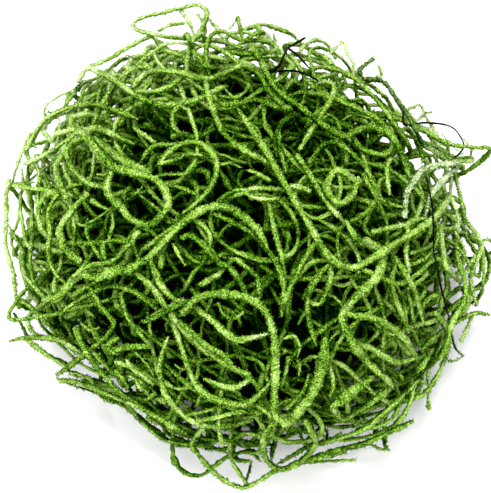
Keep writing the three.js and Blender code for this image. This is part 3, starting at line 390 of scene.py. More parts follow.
# The stems of the rim: thickness, tone and route. A low tone is dark, and a high one pale.
RIM_STEMS = [
    (1, 1.1, [(-47.6, 25.2), (-49, 23), (-49.8, 20.5), (-51.2, 16.5), (-51.8, 13.9)]),
    (0.7, 0.4, [(-46.5, 21.8), (-47, 23.2), (-45.8, 25.8), (-43.8, 27.8)]),
    (0.8, 0.9, [(-41.4, 28.5), (-41.4, 25.4), (-42.1, 21.8)]),
    (1.2, 0.7, [(-36.7, 25.8), (-40.3, 23.2), (-43.4, 21), (-47, 19.2), (-49.2, 18.3)]),
    (1, 0.3, [(-51.6, 13.9), (-48.7, 13.9), (-47, 14.3)]),
    (1, 0.9, [(-49.6, 17.4), (-49.4, 13.9), (-48.3, 11.2), (-48.1, 9.4)]),
    (1, 0.6, [(-50.1, 9.4), (-49.6, 5.6), (-49, 2.1), (-48.3, 0.1)]),
    (0.8, -0.3, [(-47.4, 9.2), (-47.2, 5.2), (-47, 1.4)]),
    (1.5, 0.9, [(-52.3, 3), (-49.4, 1), (-46.1, 0.3), (-43, -0.8), (-40.3, -1.2)]),
    (1.2, -0.2, [(-45.6, 9.6), (-44.3, 7.2), (-42.7, 2.5)]),
    (1.2, 0.6, [(-49.6, 0.3), (-49.4, -2.6), (-47.8, -4.6), (-44.3, -5.2)]),
    (0.6, -0.5, [(-48.3, -0.6), (-47, -1.9), (-44.7, -2.4)]),
    (1.3, 0.8, [(-40.7, -1.2), (-41.2, -4.6), (-42.3, -7.7), (-42.3, -10.1)]),
    (1.2, 0.4, [(-43, -2.1), (-44.3, -5.9), (-46.1, -8.6), (-48.1, -10.3)]),
    (1.2, 0.7, [(-43.4, -11.7), (-45.4, -13.2), (-47.4, -14.6), (-48.3, -16.6), (-47.4, -18.8),
        (-45.4, -20.1), (-42.5, -20.6), (-40.3, -20.1)]),
    (0.9, -0.4, [(-51.4, -14.8), (-49.8, -17.2), (-48.3, -20.1), (-46.5, -22.6), (-43.8, -24.1),
        (-41, -25.4), (-39.4, -26.3)]),
    (1.4, 0.6, [(-44.3, -13.2), (-42.5, -17), (-40.5, -20.1), (-37.4, -23.7)]),
    (0.6, 0.2, [(-41.8, -29.2), (-38.5, -30.8), (-35.4, -31.7), (-31.2, -33.2)]),
    (1.3, 1.2, [(-50.7, -13.5), (-48.5, -12.1), (-47, -10.6)]),
    (1.2, 0.3, [(-20.5, 46.7), (-23.6, 45.6), (-26.5, 44), (-29.2, 42.3), (-31.9, 40.9), (-35, 40)]),
    (1.3, 1.2, [(-31.9, 41.4), (-34.3, 40), (-35.9, 38.7), (-37.2, 36.5)]),
    (0.7, 0.5, [(-35.9, 36.9), (-38.5, 34.7), (-41, 33.6), (-43, 32.3), (-44.7, 30.7), (-44.3, 28.3)]),
    (1.1, 0.2, [(-33.4, 37.4), (-35.9, 36.1), (-38.1, 33.8), (-39.8, 31.6), (-41.2, 29.6)]),
    (0.6, -0.5, [(-44.1, 30.7), (-43.2, 29.6), (-41.8, 30.3)]),
    (1.7, 0.7, [(-27.4, 40), (-25, 39.2), (-23.2, 37.8)]),
    (0.6, -0.5, [(-26.3, 42.5), (-23, 40.7)]),
    (1.3, 0.6, [(-23.4, 37.8), (-21.2, 40), (-18.1, 42.3), (-16.3, 43.2)]),
    (1.3, 0.9, [(-16.8, 38.3), (-15.6, 40.9), (-13.9, 42.3)]),
    (1.4, 0.8, [(-20.8, 46.5), (-18.8, 45.2), (-16.8, 43.4), (-13, 42.9)]),
    (1.2, 1.3, [(-15, 52.9), (-13, 50.7), (-11.9, 48.3), (-11, 45.8)]),
    (1.2, 1.3, [(-11, 51.8), (-9.4, 50), (-9, 47.6), (-10.1, 45.4)]),
    (1, 0.8, [(-19.4, 47.8), (-16.8, 49.2), (-13.4, 49.6)]),
    (1, -0.2, [(-1.9, 51.1), (-1.2, 48.7), (-0.6, 45.8)]),
    (0.6, 0.5, [(-3.7, 48.3), (-2.1, 50)]),
    (1.3, 0.2, [(-0.6, 48), (3.2, 49.2), (6.8, 48.5), (10.5, 46.9), (12.3, 44.9)]),
    (1, 1.2, [(0.3, 45.2), (1.2, 46.9), (3.4, 47.6), (5.2, 46.3), (5.9, 43.6)]),
    (1.2, 0.8, [(6.3, 47.2), (6.8, 43.8), (7.4, 40.5)]),
    (1.2, 0.6, [(-8.3, 50.7), (-6.3, 48.5), (-5, 46.3), (-3.2, 47.4)]),
    (0.6, -1, [(-1, 42.9), (-1, 39.8)]),
    (0.8, 1.3, [(18.8, 42.7), (20.3, 44.5), (21.9, 45.4), (22.5, 42.9), (24.1, 40.3), (23.9, 37.8)]),
    (0.8, 0.1, [(19, 40.5), (20.8, 39.6), (21.6, 38.9), (22.1, 36.7), (22.1, 34.7)]),
    (1.2, 1, [(29.4, 40.3), (30.1, 38.9), (30.1, 37.8), (28.5, 37.2), (26.3, 36.5)]),
    (0.7, 1, [(35.6, 30.1), (38.5, 31.4), (39.6, 29.8), (38.1, 28.1), (36.1, 29.6)]),
    (1, 1.2, [(41.4, 29.8), (39.6, 29.4), (41.2, 27), (42.7, 24.1)]),
    (1.1, 1.2, [(38.1, 26.1), (40.5, 26.1), (42.3, 23.4), (43.8, 19.4)]),
    (0.6, 1.3, [(43.8, 24.7), (47.2, 21.2)]),
    (0.6, 1.3, [(48.5, 23.8), (50.1, 21.6), (49.8, 19.8)]),
    (0.8, -0.6, [(37.9, 23.2), (39, 20.7), (39.4, 18.7)]),
    (0.9, 0.1, [(44.7, 18.7), (48.1, 20.7)]),
    (1.4, -0.6, [(23.6, 36.1), (27.2, 34.3), (30.3, 31.6), (33, 27.6)]),
    (1.3, 0.6, [(12.1, 45.4), (14.8, 43.2), (17.9, 41.8), (20.5, 38.7)]),
    (1, 1, [(12.1, 43.6), (15.2, 45.8), (18.1, 44.9), (20.1, 41.8)]),
    (1, 0.9, [(52.3, 0.3), (50.7, -2.6), (48.7, -5.9), (47.4, -9.2)]),
    (1.4, 1, [(43.2, 4.8), (43.8, -1.2), (44.7, -4.8), (47.8, -8.1)]),
    (1.2, 0.6, [(36.7, -1.5), (39.6, -0.6), (42.3, 1.4), (43.8, 5.4)]),
    (1.2, -0.2, [(44.5, -11.7), (46.3, -10.1), (48.1, -9.2), (48.7, -12.1), (47.6, -14.8)]),
    (1.2, 0, [(42.3, -2.4), (44.5, 0.1), (46.3, 0.8), (48.5, -1)]),
    (1.1, 1.1, [(45.8, 15.4), (45.6, 11.2), (47, 7.6), (47.4, 3.2)]),
    (1, 0.8, [(44.5, 7.2), (47.2, 5.4), (49.4, 3.2), (51.6, 0.5)]),
    (1.5, 1, [(49.6, -8.8), (49.2, -13.2), (46.3, -17), (43.4, -19.7)]),
    (1, 0.3, [(51, -13.2), (52.3, -9.7)]),
    (1.1, 0.5, [(46.5, 3.2), (48.1, 0.1), (48.3, -3.5), (46.7, -6.6)]),
    (1.3, -0.7, [(43.2, -20.8), (41.2, -24.8), (38.7, -27), (36.1, -29), (33.4, -32.3)]),
    (1.2, 0.4, [(31.6, -35.2), (30.7, -41), (31.2, -45)]),
    (0.8, 0.8, [(32.1, -45.2), (29.6, -44.8), (27, -43.4)]),
    (0.9, -0.8, [(33.2, -37.4), (34.3, -33.7)]),
    (0.6, 0, [(45.4, -18.1), (46.5, -22.3), (48.3, -24.3)]),
    (1, 1.2, [(47.8, -21.2), (49, -18.6), (50.3, -15.5)]),
    (0.7, 0.8, [(45, -25.4), (46.7, -25.4), (48.3, -24.3)]),
    (1, 1.2, [(40.5, -32.5), (40.7, -36.3)]),
    (1.1, 0.9, [(44.1, -18.6), (42.3, -23.4), (40.5, -27.9), (41, -32.3)]),
    (1.2, 0.2, [(28.5, -43), (29.4, -39.4), (30.7, -36.3)]),
    (1.4, 0.6, [(-0.8, -41.6), (-2.8, -45), (-1.7, -47.4), (1.4, -47.6)]),
    (1, 0.5, [(1.2, -47.9), (0.3, -51.9)]),
    (0.9, 0.8, [(-0.8, -43.9), (1.2, -45.4), (3, -47.4)]),
    (1.5, 0.4, [(-21.2, -40.1), (-17.9, -42.8), (-13.9, -43.9), (-9.9, -44.1), (-4.3, -45.6)]),
    (1.9, 0.8, [(-21.6, -37.9), (-16.8, -40.1), (-11.7, -42.1)]),
    (1.3, 0.6, [(-7.9, -40.1), (-4.1, -38.5), (0.3, -38.1), (3.2, -37), (5.4, -34.8)]),
    (1.4, 0.3, [(7, -48.3), (9.9, -46.8), (14.1, -44.3), (18.5, -43.2), (21.4, -41.6)]),
    (1.6, 0.6, [(8.3, -49.4), (12.8, -47.6), (17.9, -46.3), (22.3, -45.4)]),
    (0.7, 0.8, [(12.8, -48.1), (18.5, -47.6), (24.3, -47.4)]),
    (1.4, -0.8, [(15.2, -38.3), (18.1, -41.2)]),
    (0.8, -0.8, [(18.1, -40.8), (18.1, -43.6)]),
    (1.3, 0.4, [(-27.9, -34.8), (-25, -37), (-21.6, -39.6), (-17.9, -42.1)]),
    (1.4, 0.6, [(-36.5, -29.5), (-32.5, -31), (-27, -33), (-22, -36), (-17, -38.5), (-13, -40.5)]),
    (1.1, -0.2, [(-39.5, -27.5), (-36, -29), (-31.5, -30.5), (-26.5, -33), (-23.5, -35)]),
    (1.8, 0.6, [(-22, -36.5), (-18, -38.5), (-13.5, -40.5), (-10, -41.5)]),
    (1, -0.5, [(-9, -45), (-5.5, -45), (-2.5, -44.5)]),
    (1.6, 0.2, [(-41, -18.5), (-38.5, -21.5), (-35.5, -24)]),
    (1.5, 0, [(-33, -30), (-30.5, -33), (-27.5, -34.5)]),
    (1.3, 0.4, [(-16.5, -41), (-13, -42), (-8.5, -43), (-4.5, -42.5)]),
]

# ---- places on the mound -----------------------------------------------------------------------


def unit(vectors):
    return vectors / np.linalg.norm(vectors, axis=-1, keepdims=True)


def outward(points):
    """The direction that points straight out of the mound."""
    return unit((points - MIDDLE) / MOUND / MOUND)


def inward(points):
    return -outward(points)


def share_of(points):
    """How far out points lie, as a share of the mound's size."""
    return np.linalg.norm((points - MIDDLE) / MOUND, axis=-1)


def to_shell(point, share):
    """A point moved straight out from the mound's middle, or in, to a share of the mound's size."""
    return (point - MIDDLE) * (share / share_of(point)) + MIDDLE


def reach(out):
    """How far the bunch reaches in a direction, as a share of how far it would if it were round."""
    level = 1 - out[2] ** 2
    return 1 + STRETCH * level * math.cos(2 * (math.atan2(out[1], out[0]) - STRETCH_WAY))


DRAWN_UP = np.array([0, math.sin(SHOW_ELEVATION), math.cos(SHOW_ELEVATION)])
DRAWN_MIDDLE = MIDDLE - DRAWING_DROP * DRAWN_UP
TO_EYE = np.array([0, -math.cos(SHOW_ELEVATION), math.sin(SHOW_ELEVATION)])
EYE = TO_EYE * EYE_DISTANCE + DRAWN_MIDDLE


def up_for_drawn(points):
    """The way in which a drawn stem is raised over others."""
    out = outward(points)
    return unit(out + (unit(EYE - points) - out) * RAISED_TO_EYE)


def away_from_eye(points):
    return unit(points - EYE)


def thrown_on_mound(route, shell):
    """The places on the mound's shell of drawn points, seen from the eye."""
    thrown = []
    for across, up in route:
        sight = DRAWN_MIDDLE + up * DRAWN_UP + (across, 0, 0) - EYE
        e = (EYE - MIDDLE) / MOUND
        s = sight / MOUND
        along = (e @ s) / (s @ s)
        rest = along * along - (e @ e - shell * shell) / (s @ s)
        thrown.append(EYE + sight * (-along - math.sqrt(max(0, rest))))
    return np.array(thrown)


# ---- laying one stem over the others -----------------------------------------------------------

SAMPLE = 1  # spacing of the points at which clearance is measured
LAYING_ROUNDS = 20
CLEAR_ENOUGH = 0.002
OWN_REACH = 2  # thicknesses along a line within which it isn't measured against itself


class Pile:
    """Samples of the stems that lie already."""

    def __init__(self):
        self.points = np.zeros((0, 3))
        self.radii = np.zeros(0)

    def add(self, points, radius):
        self.points = np.concatenate([self.points, points])
        self.radii = np.concatenate([self.radii, np.broadcast_to(radius, len(points))])

    def near(self, points, radius):
        reach = radius + self.radii.max(initial=0) + GAP
        low, high = points.min(0) - reach, points.max(0) + reach
        close = np.all((self.points > low) & (self.points < high), axis=1)
        return self.points[close], self.radii[close]


def samples_of(line):
    """Points along a bent line, the place of each, counted in joints, and the length up to each."""
    points, places, walks = [], [], []
    walked = 0.0
    for i, (a, b) in enumerate(zip(line[:-1], line[1:])):
        length = np.linalg.norm(b - a)
        count = max(1, math.ceil(length / SAMPLE))
        share = np.arange(count) / count
        points.append(a + (b - a) * share[:, None])
        places.append(i + share)
        walks.append(walked + length * share)
        walked += length
    points.append(line[-1:])
    places.append([len(line) - 1])
    walks.append([walked])
    return np.concatenate(points), np.concatenate(places), np.concatenate(walks)


def rise(points, radius, ups, others, radii, counts=True):
    """How much further up each point has to be to lie over the others that it is too close to."""
    if not len(others):
        return np.zeros(len(points))
    away = points[:, None] - others[None]
    apart2 = (radius + radii + GAP) ** 2
    distance2 = (away**2).sum(-1)
    height = (away * ups[:, None]).sum(-1)
    close = (distance2 < apart2) & counts
    need = np.sqrt(np.maximum(apart2 - distance2, 0) + height**2) - height
    return np.where(close, need, 0).max(1)


def lay(line, radius, up, pile, first=0, last=None, rounds=LAYING_ROUNDS):
    """Moves a line the way of up until it clears the pile and its own earlier part, between two places."""
    last = len(line) - 1 if last is None else last
    for _ in range(rounds):
        points, places, walks = samples_of(line)
        ups = up(points)
        need = rise(points, radius, ups, *pile.near(points, radius))
        earlier = walks[:, None] - walks[None] > OWN_REACH * (2 * radius + GAP)
        need = np.maximum(need, rise(points, radius, ups, points, radius, earlier))
        need[(places < first) | (places > last)] = 0
        lift = np.zeros(len(line))
        np.maximum.at(lift, np.floor(places).astype(int), need)
        np.maximum.at(lift, np.ceil(places).astype(int), need)
        if lift.max() < CLEAR_ENOUGH:
            break
        climb(line, lift, up(line), math.ceil(first), last)
    line[:, 2] = np.maximum(line[:, 2], radius + FLOOR_GAP)
    return line


def climb(line, lift, ups, first, last):
    """Moves each joint by its lift, and its neighbours with it, so that the line climbs gently."""
    steps = STEEPEST * np.linalg.norm(np.diff(line, axis=0), axis=1)
    for i in range(first + 1, last + 1):
        lift[i] = max(lift[i], lift[i - 1] - steps[i - 1])
    for i in range(last - 1, first - 1, -1):
        lift[i] = max(lift[i], lift[i + 1] - steps[i])
    line[first : last + 1] += ups[first : last + 1] * lift[first : last + 1, None]


def smooth(points, pieces):
    """A Catmull-Rom curve through points, with so many pieces between one point and the next."""
    before = 2 * points[0] - points[1]
    after = 2 * points[-1] - points[-2]
    p = np.concatenate([[before], points, [after]])
    t = (np.arange(pieces) / pieces)[:, None, None]
    a, b, c, d = p[:-3], p[1:-2], p[2:-1], p[3:]
    start, end = (c - a) / 2, (d - b) / 2
    spans = b + start * t + (3 * (c - b) - 2 * start - end) * t**2
    spans = spans + (2 * (b - c) + start + end) * t**3
    return np.concatenate([spans.transpose(1, 0, 2).reshape(-1, 3), points[-1:]])


# ---- the lines of the part's stems -------------------------------------------------------------

MULTIPLIER = 16807
MODULUS = 2147483647


def draws_from(seed):
    """Park and Miller's generator, as the part's source has it."""
    state = seed

    def draw(low, high):
        nonlocal state
        state = state * MULTIPLIER % MODULUS
        return low + (high - low) * state / MODULUS

    return draw


def turned(vector, axis, angle):
    """A vector turned about an axis of length 1."""
    across = np.cross(axis, vector)
    cosine, sine = math.cos(angle), math.sin(angle)
    return vector * cosine + across * sine + axis * (axis @ vector) * (1 - cosine)


def in_plane(vector, out):
    return unit(vector - out * (vector @ out))


def tangle_line(start, draw):
    """A curled line that walks over the mound, out of its heart at one end and back in at the other."""
    steps = round(draw(*LOOP_LENGTH) / TANGLE_STEP)
    heading = draw(0, 2 * math.pi)
    side = math.copysign(1, draw(-1, 1))
    bend = side * draw(*LOOP_BEND)
    sway = draw(*LOOP_SWAY)
    sway_length = draw(*LOOP_SWAY_LENGTH)
    sway_start = draw(0, 2 * math.pi)
    point = to_shell(start, SUNK_SHELL)
    out = outward(point)
    ahead = in_plane(np.array([math.cos(heading), math.sin(heading), LOOP_CLIMB]), out)
    line = [point]
    for i in range(1, steps + 1):
        turn = bend + sway * math.sin(2 * math.pi * i * TANGLE_STEP / sway_length + sway_start)
        ahead = in_plane(turned(ahead, out, turn * TANGLE_STEP), out)
        arch = math.sqrt(max(0, math.sin(math.pi * i / steps)))
        shell = TANGLE_SHELL * reach(out) - SHOW_SINK * max(0, out @ TO_EYE)
        share = SUNK_SHELL + (shell - SUNK_SHELL) * arch
        point = to_shell(point + ahead * TANGLE_STEP, share)
        out = outward(point)
        line.append(point)
    return np.array(line)


def spread_starts(count, top_share):
    """Places spread over the mound, on a spiral from its top to its underside."""
    golden_angle = math.pi * (3 - math.sqrt(5))
    i = np.arange(count)
    z = 1 - 2 * ((i + 0.5) / count) ** top_share
    across = np.sqrt(1 - z * z)
    angle = i * golden_angle
    return np.stack([across * np.cos(angle), across * np.sin(angle), z], 1) * MOUND + MIDDLE


def tangle_lines(pile):
    draw = draws_from(TANGLE_SEED)
    radius = TANGLE_THICK / 2
    lines = []
    for start in spread_starts(TANGLE_STEMS, TOP_SHARE):
        line = tangle_line(start, draw)
        lay(line, radius, outward, pile, LOOP_ENDS, len(line) - 1 - LOOP_ENDS)
        pile.add(samples_of(line)[0], radius)
        lines.append(line)
    return lines


def stem_lines(stem, pile):
    """The lines of a stem on top and of its forks, each with its radius."""
    radius = stem.thick / 2
    line = smooth(thrown_on_mound(stem.route, ROUTE_SHELL), PIECES_PER_SPAN)
    lay(line, radius, up_for_drawn, pile)
    lines = [(line, radius)]
    own = Pile()
    own.add(samples_of(line)[0], radius)
    for thick, route in stem.forks:
        points = thrown_on_mound(route, ROUTE_SHELL)
        points[0] = line[np.linalg.norm(line - points[0], axis=1).argmin()]
        clear = Pile()
        clear.add(pile.points, pile.radii)
        far = np.linalg.norm(own.points - points[0], axis=1) > FORK_CLEAR * stem.thick
        clear.add(own.points[far], own.radii[far])
        branch = smooth(points, PIECES_PER_SPAN)
        lay(branch, thick / 2, up_for_drawn, clear, FORK_FREE)
        own.add(samples_of(branch)[0], thick / 2)
        lines.append((branch, thick / 2))
    pile.add(own.points, own.radii)
    return lines


# ---- the lines of the stems between and under them ---------------------------------------------

FILL_STEP = 2.0  # spacing of the joints of the lines below
FILL_ROUNDS = 6
WOBBLE = 0.02  # strength of the small turns, in radians a millimetre
KINK = 0.22  # strength of the few sharp ones
RIPPLE = 0.012  # how far a stem goes in and out as it runs, as a share of the mound's size
RIPPLE_LENGTH = (8, 20)
FILL_SEED = 411


@dataclass
class Habit:
    """How the stems of one kind run: each value is drawn between two."""

    count: int
    length: tuple
    shell: tuple  # how far out their middles lie
    dive: tuple  # how much further in their two ends lie
    thick: tuple
    bend: tuple  # turn to one side, in radians a millimetre
    sway: tuple
    sway_length: tuple
    seed: int
    top_share: float = 1.15
    sink: float = 0.0  # how much lower they run where they face the eye
    facing: float = 1.0  # the most that they may face the eye: below 1, they keep to the rim and the back
    slant: float = math.pi  # how far their heading may be from level
    top: float = 99.0  # how high up their middles may be
    kink_chance: float = 0.08


UPPER = Habit(
    172, (18, 62), (0.93, 1.0), (0.06, 0.25), (1.2, 2.0), (0.0, 0.1), (0.02, 0.13), (18, 50), 1, sink=0.09
)
BETWEEN = Habit(
    165, (18, 62), (0.84, 0.93), (0.04, 0.2), (1.2, 2.0), (0.0, 0.1), (0.02, 0.13), (18, 50), 5, sink=0.05
)
CURLS = Habit(
    60, (20, 46), (0.92, 0.99), (0.05, 0.2), (0.8, 1.3), (0.14, 0.26), (0.02, 0.08), (14, 30), 2, sink=0.08
)
LOWER = Habit(
    190, (30, 80), (0.62, 0.86), (0.0, 0.08), (1.2, 2.0), (0.02, 0.1), (0.02, 0.14), (18, 50), 3, sink=0.04
)
STRAYS = Habit(
    265, (22, 66), (0.95, 1.02), (0.05, 0.18), (0.9, 1.7), (0.0, 0.06), (0.01, 0.07), (24, 60), 4, 1.0,
    facing=0.55, slant=0.6, kink_chance=0.03,
)

FOOT = Habit(
    150, (24, 50), (0.9, 1.02), (0.02, 0.1), (1.3, 2.0), (0.0, 0.06), (0.01, 0.08), (20, 50), 6, 1.0,
    slant=0.5, top=13.0,
)

# Behind at the right the bunch is thinner, and the ground shows through it.
THIN_WAY = unit(np.array([0.6, 0.7, 0]))
THIN_FROM = 0.45  # how much a stray stem has to lie that way to count
THINNING = 0.75  # the share of those that is left out


def wandering_line(start, habit, rng):
    """A curled line that walks over the mound, with its depth going up and down as it goes."""
    steps = round(rng.uniform(*habit.length) / FILL_STEP)
    walked = np.arange(steps + 1) * FILL_STEP
    bend = rng.choice([-1, 1]) * rng.uniform(*habit.bend)
    sway = rng.uniform(*habit.sway) * np.sin(
        2 * math.pi * walked / rng.uniform(*habit.sway_length) + rng.uniform(0, 2 * math.pi)
    )
    kinks = rng.normal(0, KINK, steps + 1) * (rng.random(steps + 1) < habit.kink_chance)
    turns = (bend + sway + rng.normal(0, WOBBLE, steps + 1) + kinks) * FILL_STEP
    middle = rng.uniform(*habit.shell)
    along = np.linspace(0, 1, steps + 1)
    first, last = rng.uniform(*habit.dive, 2)
    shells = middle - first * (1 - along) ** 3 - last * along**3
    ripple_length = rng.uniform(*RIPPLE_LENGTH)
    shells += RIPPLE * np.sin(2 * math.pi * walked / ripple_length + rng.uniform(0, 2 * math.pi))
    point = to_shell(start, shells[0])
    out = outward(point)
    level = unit(np.array([-out[1], out[0], 0])) * rng.choice([-1, 1])
    ahead = turned(level, out, rng.uniform(-habit.slant, habit.slant))
    line = [point]
    for turn, shell in zip(turns[1:], shells[1:]):
        ahead = in_plane(turned(ahead, out, turn), out)
        sunk = shell * reach(out) - habit.sink * max(0, out @ TO_EYE)
        point = to_shell(point + ahead * FILL_STEP, sunk)
        out = outward(point)
        line.append(point)
    return np.array(line)


def fill_lines(habit, pile=None, up=inward):
    """Lines of one habit, each with its radius. Where a pile is given they are laid on it, or under it."""
    rng = np.random.default_rng([FILL_SEED, habit.seed])
    lines = []
    for start in spread_starts(habit.count, habit.top_share):
        radius = rng.uniform(*habit.thick) / 2
        line = wandering_line(start, habit, rng)
        if (outward(line) @ TO_EYE).max() > habit.facing or line[:, 2].mean() > habit.top:
            continue
        if habit is STRAYS and outward(line).mean(0) @ THIN_WAY > THIN_FROM and rng.random() < THINNING:
            continue
        if pile is not None:
            lay(line, radius, up, pile, rounds=FILL_ROUNDS)
            pile.add(samples_of(line)[0], radius)
        line[:, 2] = np.maximum(line[:, 2], radius + FLOOR_GAP)
        lines.append((line, radius))
    return lines


# ---- skins -------------------------------------------------------------------------------------


@dataclass
class Skin:
    """How finely a stem is made."""

    spacing: float  # between its rings
    sides: int
    rough: float  # how far its surface stands out or in, as a share of its radius
    scales: float = 0  # scales that stand off it, a millimetre of its length
    body: float = 0.77  # thickness under the scales, as a share of the stem's


FINE = Skin(0.34, 8, 0.22, 11)
NEAR = Skin(0.5, 7, 0.2, 6)
MIDDLING = Skin(0.82, 6, 0.19, 2.2)
COARSE = Skin(0.93, 5, 0.18, 1.3)
LOW = Skin(1.2, 5, 0.14, 0.5)
DIM = Skin(2.2, 5, 0.1)
BARE_SKIN = Skin(0.5, 6, 0.04, body=0.6)

BLUNT_END = 0.75  # thickness of a blunt end, as a share of the stem's
TAPERED_END = 0.35
TAPER_LENGTH = (2, 7)
TAPER_CHANCE = 0.6
TAPER_CURVE = 0.7  # below 1, a stem thins the most just before its end
TIP = 0.35  # how far the middle of an end stands out, as a share of the stem's radius
SWELLS = ((2.5, 0.07), (7, 0.09), (17, 0.08))  # length of the swells along a stem, and how strong they are
SWELL_STRETCH = (0.7, 1.4)  # from stem to stem their length differs by this much
FLAT = 0.17  # how much broader than deep a stem is, which twists along its length
TWIST_LENGTH = (18, 40)
CLUB_PLACES = (0.7, 0.8, 1)  # where on its length a club-ended stem gets thicker
ROUGHEST = 2  # the most that a corner is off, as a multiple of the skin's roughness
SLIDE = 0.22  # how far corners slide along the stem, as a share of the rings' spacing
START_ACROSS = (0.3, 0.5, 0.8)  # a direction that no stem starts in
FEWEST_RINGS = 4
FINER = 3  # points on the curve for each ring, from which the rings' places are worked out

SCALE_LENGTH = (0.3, 0.85)
SCALE_WIDTH = 0.34
SCALE_FOOT = 0.85  # how far out its foot is, as a share of the stem's radius
SCALE_LIFT = 0.2  # how far its tip is off that, as a share of the same, and then of its own length
SCALE_STAND = 0.6
SCALE_LEAN = 0.9  # how much of its length it may lean along the stem, and then to one side
SCALE_TILT = 0.5
FOOT_CORNER = (0.5, 0.87)  # cosine and sine of 60 degrees: the three sides of its foot are equal


def evenly(line, spacing):
    """Points on the smooth curve through a line's joints, so far apart."""
    span = np.linalg.norm(np.diff(line, axis=0), axis=1).mean()
    fine = smooth(line, max(2, math.ceil(FINER * span / spacing)))
    walked = np.concatenate([[0], np.cumsum(np.linalg.norm(np.diff(fine, axis=0), axis=1))])
    places = np.linspace(0, walked[-1], max(FEWEST_RINGS, round(walked[-1] / spacing)) + 1)
    return np.stack([np.interp(places, walked, fine[:, k]) for k in range(3)], 1), places


def frames_along(points):
    """For each point the line's direction and two directions across it, turned as little as possible."""
    tangents = unit(np.gradient(points, axis=0))
    start = np.cross(tangents[0], START_ACROSS)
    normals = [unit(start)]
    for tangent in tangents[1:]:
        kept = normals[-1] - tangent * (normals[-1] @ tangent)
        normals.append(kept / math.sqrt(kept @ kept))
    normals = np.array(normals)
    return tangents, normals, np.cross(tangents, normals)


